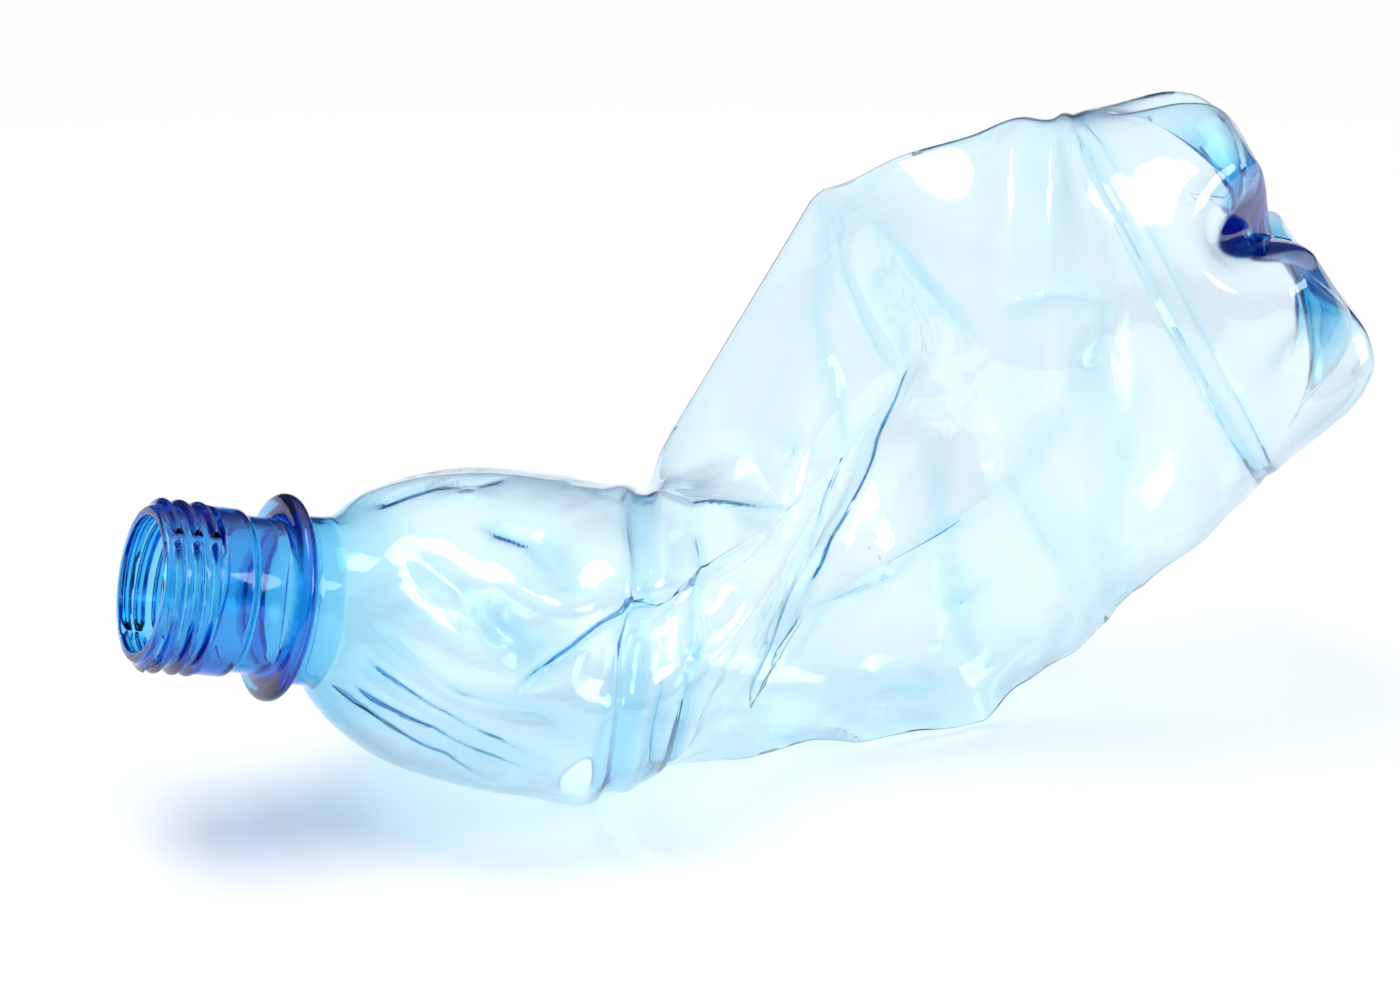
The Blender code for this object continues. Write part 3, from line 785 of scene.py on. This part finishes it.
# %% Flutes
FLUTES = 12
FLUTE_DEPTH = 0.7
FLUTE_TWIST = 1.5  # degrees that a flute turns in each millimetre
FLUTES_FROM = 11.0  # millimetres behind the support ring
FLUTES_TO = 56.0
flutes = Tree("flutes", {
    "Count": "Float", "Depth": "Float", "Twist": "Float", "Shift": "Float", "Start": "Float",
    "End": "Float", "Fade": "Float", "Crispness": "Float",
})
run = flutes.fact("distance")
# Where the point lies between two flutes: one on the line, and zero half way to the next.
phase = flutes.math("SUBTRACT", flutes.fact("turn"), flutes.math("MULTIPLY", run, flutes.given("Twist")))
phase = flutes.math("ADD", flutes.math("MULTIPLY", phase, flutes.given("Count")), flutes.given("Shift"))
near = flutes.math("ABSOLUTE", flutes.math("WRAP", phase, 0.5, -0.5))
near = flutes.math("SUBTRACT", 1.0, flutes.math("MULTIPLY", near, 2.0))
line = flutes.math("POWER", near, flutes.given("Crispness"))
# The line fades in after its start and out before its end.
full_from = flutes.math("ADD", flutes.given("Start"), flutes.given("Fade"))
full_to = flutes.math("SUBTRACT", flutes.given("End"), flutes.given("Fade"))
begun = flutes.ramp(run, flutes.given("Start"), full_from)
over = flutes.ramp(run, full_to, flutes.given("End"))
line = flutes.math("MULTIPLY", line, begun)
line = flutes.math("MULTIPLY", line, flutes.math("SUBTRACT", 1.0, over))
line = flutes.math("MULTIPLY", line, flutes.fact("on_shoulder"))
line = flutes.math("MULTIPLY", line, flutes.math("MULTIPLY", flutes.given("Depth"), -1.0))
flutes.move(offset=flutes.outward(line))
flutes.use(
    sheet, Count=float(FLUTES), Depth=FLUTE_DEPTH * MM, Twist=FLUTE_TWIST / 360.0 / MM, Shift=0.0,
    Start=FLUTES_FROM * MM, End=FLUTES_TO * MM, Fade=6.0 * MM, Crispness=5.0,
)
print("flutes:", FLUTES)

# %% [markdown]
# ## Pressed lines
# A ring groove, a sharp crease and a soft dent are all one thing: the sheet moves in or out
# near a line, most at the line and less away from it. One tree does them all, from a line
# object that lies on the sheet. Flat keeps full depth near the line, as a band does, and Soft
# rounds the very edge. A line's own points say how strong it is there, so a crease can fade.

# %% Tree for pressed lines
press = Tree("press", {
    "Line": "Object", "Depth": "Float", "Flat": "Float", "Width": "Float", "Soft": "Float",
    "Thicken": "Float",
})
info = press.node("GeometryNodeObjectInfo")
press.feed(info.inputs["Object"], press.given("Line"))
line_shape = info.outputs["Geometry"]
place = press.fact("place", "FLOAT_VECTOR")
# How strongly the line is felt at the point, from its distance past the flat part.
closest = press.node("GeometryNodeProximity", target_element="EDGES")
press.feed(closest.inputs[0], line_shape)
press.feed(closest.inputs["Sample Position"], place)
gap = press.math("SUBTRACT", closest.outputs["Distance"], press.given("Flat"))
gap = press.math("MAXIMUM", gap, 0.0)
soft = press.given("Soft")
rounded = press.math("ADD", press.math("MULTIPLY", gap, gap), press.math("MULTIPLY", soft, soft))
rounded = press.math("SQRT", rounded)
rounded = press.math("DIVIDE", press.math("SUBTRACT", soft, rounded), press.given("Width"))
strength = press.math("EXPONENT", rounded)
# How strong the line itself is at its nearest point.
which = press.node("GeometryNodeSampleNearest", domain="POINT")
press.feed(which.inputs["Geometry"], line_shape)
press.feed(which.inputs["Sample Position"], place)
sample = press.node("GeometryNodeSampleIndex", data_type="FLOAT", domain="POINT")
press.feed(sample.inputs["Geometry"], line_shape)
press.feed(sample.inputs["Value"], press.fact("strength"))
press.feed(sample.inputs["Index"], which.outputs["Index"])
strength = press.math("MULTIPLY", strength, sample.outputs[0])
depth = press.math("MULTIPLY", strength, press.given("Depth"))
added = press.math("MULTIPLY", strength, press.given("Thicken"))
thicker = press.math("ADD", press.fact("thicker"), added)
press.move(offset=press.outward(depth), fact=("thicker", thicker))
print("press tree:", len(press.group.nodes), "nodes")

# %% Lines on the sheet
LINE_STEP = 0.4  # millimetres between the points of a line
line_objects = []


def line_object(points, strengths, closed=False):
    """A line through the points, as a mesh of short edges that know their strength."""
    points = np.asarray(points, dtype=float)
    if closed:
        points = np.concatenate([points, points[:1]])
        strengths = np.concatenate([strengths, strengths[:1]])
    walked = np.concatenate([[0.0], np.cumsum(np.linalg.norm(np.diff(points, axis=0), axis=1))])
    wanted = np.linspace(0.0, walked[-1], max(2, round(walked[-1] / LINE_STEP)))
    fine = np.stack([np.interp(wanted, walked, points[:, k]) for k in range(3)], axis=1)
    mesh = bpy.data.meshes.new("line")
    mesh.from_pydata(fine * MM, [(i, i + 1) for i in range(len(fine) - 1)], [])
    put_fact(mesh, "strength", np.interp(wanted, walked, strengths))
    line = bpy.data.objects.new("line", mesh)
    bpy.context.scene.collection.objects.link(line)
    line_objects.append(line)
    return line


def press_line(points, strengths, depth, width, flat=0.0, soft=0.35, closed=False, thicken=0.0):
    """Move the sheet out by depth near a line, or in where depth is below zero."""
    line = line_object(points, strengths, closed)
    press.use(
        sheet, Line=line, Depth=depth * MM, Flat=flat * MM, Width=width * MM, Soft=soft * MM,
        Thicken=thicken * MM,
    )


def net_row(place):
    """Points of the sheet row nearest to a place between the rows of the net."""
    return outer_start[FIRST_BODY + int(np.argmin(np.abs(body_places - place)))]


def on_net(place, column):
    """The point of the sheet at a place and a column of the net."""
    if column < FRONT_COLUMNS:
        fine_column = round(column * FRONT_STEPS)
    else:
        fine_column = round(FRONT_COLUMNS * FRONT_STEPS + (column - FRONT_COLUMNS) * BACK_STEPS)
    return net_row(place)[fine_column]


def press_ring(place, depth, width, flat=0.0, soft=0.3, top=1.0, reach=0.3, thicken=0.1):
    """A line along a row of the net; top is its strength on the top edge, out to reach."""
    row = net_row(place)
    near_top = np.exp(-(from_top_edge() / reach) ** 2)
    press_line(row, 1.0 + (top - 1.0) * near_top, depth, width, flat, soft, True, thicken)


def press_crease(places, depth, width, soft=0.15, start=0.0, end=0.0, thicken=0.1):
    """A crease through places of the net, with its strength at the two ends."""
    points = [on_net(place, column) for place, column in places]
    strengths = [start] + [1.0] * (len(places) - 2) + [end]
    press_line(points, strengths, depth, width, soft=soft, thicken=thicken)


GROOVE_PLACE = len(SHOULDER)
RING_LINE_PLACE = GROOVE_PLACE + 1
BAND_PLACE = GROOVE_PLACE + 8.5
BASE_RING_PLACE = GROOVE_PLACE + 11
press_ring(GROOVE_PLACE, depth=-1.5, width=0.7, flat=1.1, soft=0.3, top=0.2, thicken=0.2)
press_ring(RING_LINE_PLACE, depth=-0.9, width=0.8, soft=0.3, top=0.0, reach=1.2, thicken=0.3)
press_ring(BAND_PLACE, depth=-0.5, width=0.5, flat=2.6, top=0.0, thicken=0.08)
press_ring(BASE_RING_PLACE, depth=-0.8, width=0.8, soft=0.2, top=0.0, thicken=0.3)
print("ring lines:", len(line_objects))

# %% [markdown]
# ## The front flutes
# On the front the crush has pulled the flutes out of their even order, so their edges are
# drawn one by one: crisp steps low on the side, wider and softer ones in the middle, and
# raised rims near the top. A place on the sheet is given as a place between the rows of the
# net, and a column, and a crease runs straight from each place to the next.

# %% Flute edges on the front
LOWER_EDGES = [
    [(0.5, 6.7), (2.0, 6.6), (3.4, 6.4), (4.5, 6.6), (5.5, 7.3)],
    [(1.7, 5.7), (2.5, 6.0), (4.0, 5.9), (5.2, 6.5), (6.2, 7.1)],
    [(1.3, 4.7), (2.3, 5.0), (4.1, 5.4), (5.2, 6.1), (6.2, 6.8)],
    [(1.7, 3.5), (2.5, 4.0), (4.2, 4.9), (5.8, 5.7), (6.6, 6.3)],
    [(2.7, 14.3), (3.1, 14.8), (4.1, 14.8), (4.6, 0.1), (5.2, 0.3)],
]
MIDDLE_EDGES = [
    [(2.7, 1.3), (3.5, 2.1), (4.1, 2.8), (4.5, 3.3), (5.2, 4.3), (5.8, 4.7)],
    [(4.4, 2.9), (4.7, 3.6), (5.4, 4.1), (6.1, 4.3)],
    [(4.5, 1.3), (4.8, 1.7), (5.3, 2.6), (5.9, 3.6), (6.8, 3.9)],
]
UPPER_EDGES = [
    [(3.8, 0.5), (4.5, 0.7), (4.9, 1.2)],
    [(2.2, 2.3), (3.0, 2.9), (4.1, 3.9), (5.0, 4.8)],
    [(4.5, 1.8), (5.1, 3.3), (5.9, 3.9), (6.4, 3.9)],
]
for edge in LOWER_EDGES:
    press_crease(edge, depth=-1.25, width=1.2, soft=0.3, thicken=0.3)
for edge in MIDDLE_EDGES:
    press_crease(edge, depth=-1.4, width=1.9, soft=0.9, thicken=0.35)
for edge in UPPER_EDGES:
    press_crease(edge, depth=1.2, width=2.2, soft=1.2, thicken=0.15)
print("flute edges:", len(LOWER_EDGES) + len(MIDDLE_EDGES) + len(UPPER_EDGES))

# %% [markdown]
# ## Creases
# The big folds are in the net. Around them the sheet has smaller creases, where it gave way a
# little: long ones across the flat panels, and short ones where two folds meet.

# %% Creases of the panels
RIDGES = [
    [(9.0, 3.9), (8.6, 3.1), (8.3, 2.9), (8.1, 2.8)],
    [(10.4, 0.3), (10.0, 0.7), (9.9, 1.5), (9.9, 2.4), (9.9, 3.3), (10.0, 3.8)],
    [(11.0, 0.4), (10.8, 1.3), (10.8, 2.0), (10.8, 2.7), (10.9, 3.0)],
    [(12.0, 14.3), (12.4, 13.5), (12.6, 13.0), (12.8, 11.7), (12.8, 11.2), (13.0, 10.5)],
    [(13.5, 5.1), (13.6, 6.5), (13.5, 7.5), (13.6, 8.0)],
    [(13.2, 6.9), (13.7, 6.9), (14.0, 7.0)],
    [(12.1, 7.0), (12.1, 6.1), (12.8, 6.1), (13.7, 6.0), (14.9, 6.0)],
    [(14.9, 6.0), (14.9, 6.7), (14.9, 7.3), (14.8, 8.1)],
    [(12.1, 8.1), (12.5, 7.7), (12.9, 7.8), (13.6, 8.0)],
    [(8.4, 5.8), (8.1, 5.7), (7.8, 5.7)],
    [(12.2, 1.1), (12.8, 1.9), (13.9, 3.1)],
    [(17.3, 4.6), (16.8, 5.8), (16.1, 7.4)],
    [(17.5, 6.1), (16.6, 7.7)],
    [(17.1, 3.3), (16.1, 3.0), (14.8, 3.1)],
    [(16.7, 4.2), (16.2, 5.3), (14.9, 6.0)],
]
FLAP_EDGE = [(7.2, 4.0), (6.9, 4.1), (6.4, 4.7), (5.9, 4.9), (5.6, 5.0), (5.2, 5.1)]
CREASES = [
    [(9.2, 2.0), (9.3, 2.6), (9.8, 3.9)],
    [(12.5, 14.0), (12.9, 13.3), (13.6, 12.7)],
    [(11.1, 3.1), (11.4, 3.9), (11.6, 5.5), (11.4, 6.2), (11.3, 6.9)],
    [(17.1, 3.3), (16.7, 4.2), (16.8, 5.8)],
]
press_crease(FLAP_EDGE, depth=-1.8, width=1.4, soft=0.4, thicken=0.4)
for crease in RIDGES:
    press_crease(crease, depth=1.1, width=1.15, soft=0.1, start=0.4, end=0.4, thicken=0.25)
for crease in CREASES:
    press_crease(crease, depth=-1.2, width=1.15, soft=0.1, start=0.3, end=0.3, thicken=0.3)
print("creases:", 1 + len(RIDGES) + len(CREASES))

# %% [markdown]
# ## Crumpling
# Stiff film doesn't wrinkle like cloth. It breaks into small flat facets, and the breaks are
# sharp. Distance to the nearest of some scattered points has that same shape, so one tree
# presses it into the sheet, with a soft noise that varies how deep it goes.

# %% Crumpled facets
CRUMPLES = [(45.0, 3.6, 0.37), (110.0, 1.5, 0.81)]  # facets to a metre, depth, seed
USUAL_DISTANCE = 0.45  # from a facet's middle, so that the sheet moves in and out alike
NOISE_LOW = 0.38
NOISE_HIGH = 0.62
crumple = Tree("crumple", {"Facets": "Float", "Depth": "Float", "Seed": "Float"})
offset = crumple.node("ShaderNodeCombineXYZ")
crumple.feed(offset.inputs["X"], crumple.given("Seed"))
moved = crumple.vector("ADD", crumple.fact("place", "FLOAT_VECTOR"), offset.outputs["Vector"])
# Each facet is a cone around a scattered point, and the cones meet in sharp breaks.
cells = crumple.node("ShaderNodeTexVoronoi")
crumple.feed(cells.inputs["Vector"], moved)
crumple.feed(cells.inputs["Scale"], crumple.given("Facets"))
# A soft noise leaves some patches of the sheet smooth.
patches = crumple.node("ShaderNodeTexNoise")
crumple.feed(patches.inputs["Vector"], moved)
crumple.feed(patches.inputs["Scale"], crumple.math("MULTIPLY", crumple.given("Facets"), 0.5))
share = crumple.ramp(patches.outputs["Fac"], NOISE_LOW, NOISE_HIGH)
dent = crumple.math("SUBTRACT", cells.outputs["Distance"], USUAL_DISTANCE)
dent = crumple.math("MULTIPLY", dent, crumple.math("MULTIPLY", share, crumple.given("Depth")))
dent = crumple.math("MULTIPLY", dent, crumple.fact("crushed"))
crumple.move(offset=crumple.outward(dent))
for facets, depth, seed in CRUMPLES:
    crumple.use(sheet, Facets=facets, Depth=depth * MM, Seed=seed)
print("crumpled:", len(CRUMPLES), "times")

# %% [markdown]
# ## The sheet as it came out
# The trees are evaluated once, and the result is read back as a grid of points, because the
# inner skin is made from it. The folds come out as sharp as the mesh allows. Real film has a
# thickness to bend around, so each point is then blended a little with its neighbours.

# %% Read the pressed sheet
bpy.context.view_layer.update()
depsgraph = bpy.context.evaluated_depsgraph_get()
pressed = bpy.data.meshes.new_from_object(sheet.evaluated_get(depsgraph))
outer = np.empty(len(pressed.vertices) * 3, dtype=np.float32)
pressed.vertices.foreach_get("co", outer)
outer = outer.reshape(ROWS, COLUMNS, 3).astype(float) / MM
thicker = np.empty(ROWS * COLUMNS, dtype=np.float32)
pressed.attributes["thicker"].data.foreach_get("value", thicker)
thicker = thicker.reshape(ROWS, COLUMNS).astype(float) / MM
for helper in [sheet] + line_objects:
    bpy.data.objects.remove(helper)
print("moved by at most", round(float(np.abs(outer - outer_start).max()), 2), "mm")

# %% Round the folds a little
FOLD_ROUNDING = 0.5  # from 0 for folds as sharp as the sheet allows, to 1


def rounded_folds(grid):
    """Blend every point of a band of rows with its neighbours, and keep the two end rows."""
    around = (np.roll(grid, 1, axis=1) + 2 * grid + np.roll(grid, -1, axis=1)) / 4
    along = (around[:-2] + 2 * around[1:-1] + around[2:]) / 4
    return np.concatenate([grid[:1], along, grid[-1:]])


body_part = slice(FIRST_BODY, FIRST_BASE + 2)
outer[body_part] += FOLD_ROUNDING * (rounded_folds(outer[body_part]) - outer[body_part])
print("folds rounded:", FOLD_ROUNDING)

# %% [markdown]
# ## The wall
# The inside of the neck is a plain bore, and the inside of the rest follows the outside at
# the wall's thickness. Blowing thins the plastic most where it travels furthest. A real body
# is about a quarter of a millimetre thick, and the middle of the base, which hardly moves, is
# over 2 mm. The body here has half of its real thickness, which keeps the folded panels pale.

# %% Wall thickness
BODY_WALL = 0.13
SHOULDER_WALL = 0.85
THICK_UNTIL = 5.0  # distance from the support ring where the wall begins to thin
THINNED_AT = 20.0  # distance from the support ring where the body wall is reached
MIDDLE_WALL = 2.3
MIDDLE_REACH = 22.0
VALLEY_WALL = 1.3
VALLEY_REACH = 27.0
VALLEY_FADE = 16.0


def wall_thickness():
    """Wall of every point of the body and the base."""
    away = from_ring[FIRST_BODY:]
    unthinned = smooth_step(1.0 - (away - THICK_UNTIL) / (THINNED_AT - THICK_UNTIL))
    thickness = BODY_WALL + (SHOULDER_WALL - BODY_WALL) * unthinned
    relative = outer[FIRST_BASE:] + ORIGIN - base.centre
    from_axis = np.linalg.norm(relative - (relative @ base.along)[..., None] * base.along, axis=-1)
    half_lobe = 180.0 / FEET
    off_valley = np.abs((from_first_valley() + half_lobe) % (2 * half_lobe) - half_lobe)
    in_valley = 1.0 - smooth_step(off_valley / (valley_width * 360.0))
    middle = (MIDDLE_WALL - BODY_WALL) * smooth_step(1.0 - from_axis / MIDDLE_REACH)
    near_middle = smooth_step((VALLEY_REACH - from_axis) / VALLEY_FADE)
    valley = (VALLEY_WALL - BODY_WALL) * near_middle * in_valley
    thickness[FIRST_BASE - FIRST_BODY:] += np.maximum(middle, valley)
    return thickness + thicker[FIRST_BODY:]


wall = wall_thickness()
inner_sheet = outer[FIRST_BODY:] - sheet_normals(outer[FIRST_BODY:]) * wall[..., None]
inner = np.concatenate([bore_rows - ORIGIN, inner_sheet])
print("wall from", round(float(wall.min()), 2), "to", round(float(wall.max()), 2), "mm")

# %% [markdown]
# ## One closed body
# Plastic can only absorb light inside a closed body, so the two skins are joined over the rim
# of the mouth, and each ends in one point at the middle of the base. A Solidify modifier could
# make the wall too, but the bore doesn't follow the thread, so it needs rows of its own.

# %% The finished bottle
SHARP_FROM = 38.0  # degrees; a sharper turn than this keeps a crisp edge
outer_middle = base.centre + base.along * MIDDLE_DISTANCE - ORIGIN
inner_middle = outer_middle - base.along * MIDDLE_WALL


def fan(row, middle):
    """Triangles from a row to one point."""
    return np.stack([row, np.roll(row, -1), np.full(len(row), middle)], axis=1)


def finished_mesh():
    """The outer skin, the rim and the inner skin as one closed body."""
    points = np.concatenate([outer.reshape(-1, 3), inner.reshape(-1, 3), [outer_middle, inner_middle]])
    outer_numbers = np.arange(ROWS * COLUMNS).reshape(ROWS, COLUMNS)
    inner_numbers = ROWS * COLUMNS + np.arange(inner.shape[0] * COLUMNS).reshape(-1, COLUMNS)
    faces = [band_faces(a, b) for a, b in zip(outer_numbers[:-1], outer_numbers[1:])]
    faces += [band_faces(b, a) for a, b in zip(inner_numbers[:-1], inner_numbers[1:])]
    faces.append(band_faces(inner_numbers[0], outer_numbers[0]))
    quads = np.concatenate(faces).tolist()
    fans = fan(outer_numbers[-1], len(points) - 2).tolist()
    fans += fan(inner_numbers[-1], len(points) - 1)[:, ::-1].tolist()
    mesh = bpy.data.meshes.new("bottle_body")
    mesh.from_pydata(points * MM, [], quads + fans)
    mesh.materials.append(blue_pet)
    mesh.shade_smooth()
    mesh.set_sharp_from_angle(angle=math.radians(SHARP_FROM))
    return mesh


bottle = bpy.data.objects.new("bottle_body", finished_mesh())
bpy.context.scene.collection.objects.link(bottle)
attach(bottle, "root")
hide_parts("bottle")
bottle.data.calc_loop_triangles()
print("triangles:", len(bottle.data.loop_triangles))

# %% [markdown]
# ## The table and the light
# The table is white and a little glossy, and wider than the view, so it fills the background.
# Clear plastic shows only what it bends and reflects, so the lights matter as much as the
# mesh. A dome lights the table from above, and is a dim blue at the horizon, which the steep
# sides of the folds reflect. Two soft boxes give the white patches with clean edges.

# %% Table
TABLE_COLOUR = (0.93, 0.93, 0.94, 1.0)
TABLE_ROUGHNESS = 0.55
TABLE_HALF = 3.0  # metres
TABLE_CORNERS = [(-1, -1, 0), (1, -1, 0), (1, 1, 0), (-1, 1, 0)]


def table_material():
    """White board with a soft shine."""
    material = bpy.data.materials.new("white_table")
    material.use_nodes = True
    shader = material.node_tree.nodes["Principled BSDF"]
    shader.inputs["Base Color"].default_value = TABLE_COLOUR
    shader.inputs["Roughness"].default_value = TABLE_ROUGHNESS
    shader.inputs["Specular IOR Level"].default_value = 0.25
    return material


table_mesh = bpy.data.meshes.new("table")
table_mesh.from_pydata(np.array(TABLE_CORNERS) * TABLE_HALF, [], [(0, 1, 2, 3)])
table_mesh.materials.append(table_material())
table = bpy.data.objects.new("table", table_mesh)
bpy.context.scene.collection.objects.link(table)
print("table", 2 * TABLE_HALF, "m wide")

# %% Lights
HORIZON = (0.05, 0.09, 0.21, 1.0)
OVERHEAD = (1.22, 1.16, 1.12, 1.0)
HORIZON_UNTIL = 0.25  # height on the dome, from 0 at the horizon to 1 overhead


def soft_box(name, direction, distance, width, height, radiance):
    """A rectangular lamp that faces the bottle from a direction."""
    lamp = bpy.data.lights.new(name, "AREA")
    lamp.shape = "RECTANGLE"
    lamp.size = width
    lamp.size_y = height
    lamp.energy = radiance * width * height * math.pi
    lamp_object = bpy.data.objects.new(name, lamp)
    towards = Vector(direction).normalized()
    lamp_object.location = towards * distance
    lamp_object.rotation_euler = towards.to_track_quat("Z", "Y").to_euler()
    bpy.context.scene.collection.objects.link(lamp_object)


def studio_dome():
    """A soft sky that is bright overhead and dim at the horizon."""
    world = bpy.data.worlds.new("studio")
    world.use_nodes = True
    nodes = world.node_tree.nodes
    links = world.node_tree.links
    place = nodes.new("ShaderNodeTexCoord")
    parts = nodes.new("ShaderNodeSeparateXYZ")
    height = nodes.new("ShaderNodeMapRange")
    height.interpolation_type = "SMOOTHSTEP"
    height.inputs["From Min"].default_value = HORIZON_UNTIL
    height.inputs["From Max"].default_value = 1.0
    colour = nodes.new("ShaderNodeMixRGB")
    colour.inputs["Color1"].default_value = HORIZON
    colour.inputs["Color2"].default_value = OVERHEAD
    links.new(place.outputs["Generated"], parts.inputs["Vector"])
    links.new(parts.outputs["Z"], height.inputs["Value"])
    links.new(height.outputs["Result"], colour.inputs["Fac"])
    links.new(colour.outputs["Color"], nodes["Background"].inputs["Color"])
    return world


bpy.context.scene.world = studio_dome()
soft_box("top_box", (-0.20, -0.10, 0.97), distance=1.5, width=0.8, height=0.55, radiance=7.0)
soft_box("right_box", (0.78, -0.40, 0.48), distance=1.2, width=0.5, height=0.5, radiance=5.5)

# %% Light paths
BOUNCES = 32  # light crosses many skins of plastic before it reaches the table
cycles = bpy.context.scene.cycles
cycles.max_bounces = BOUNCES
cycles.transmission_bounces = BOUNCES
cycles.glossy_bounces = BOUNCES
cycles.blur_glossy = 0.0
bpy.context.scene.view_settings.view_transform = "Standard"
print("bounces:", BOUNCES)
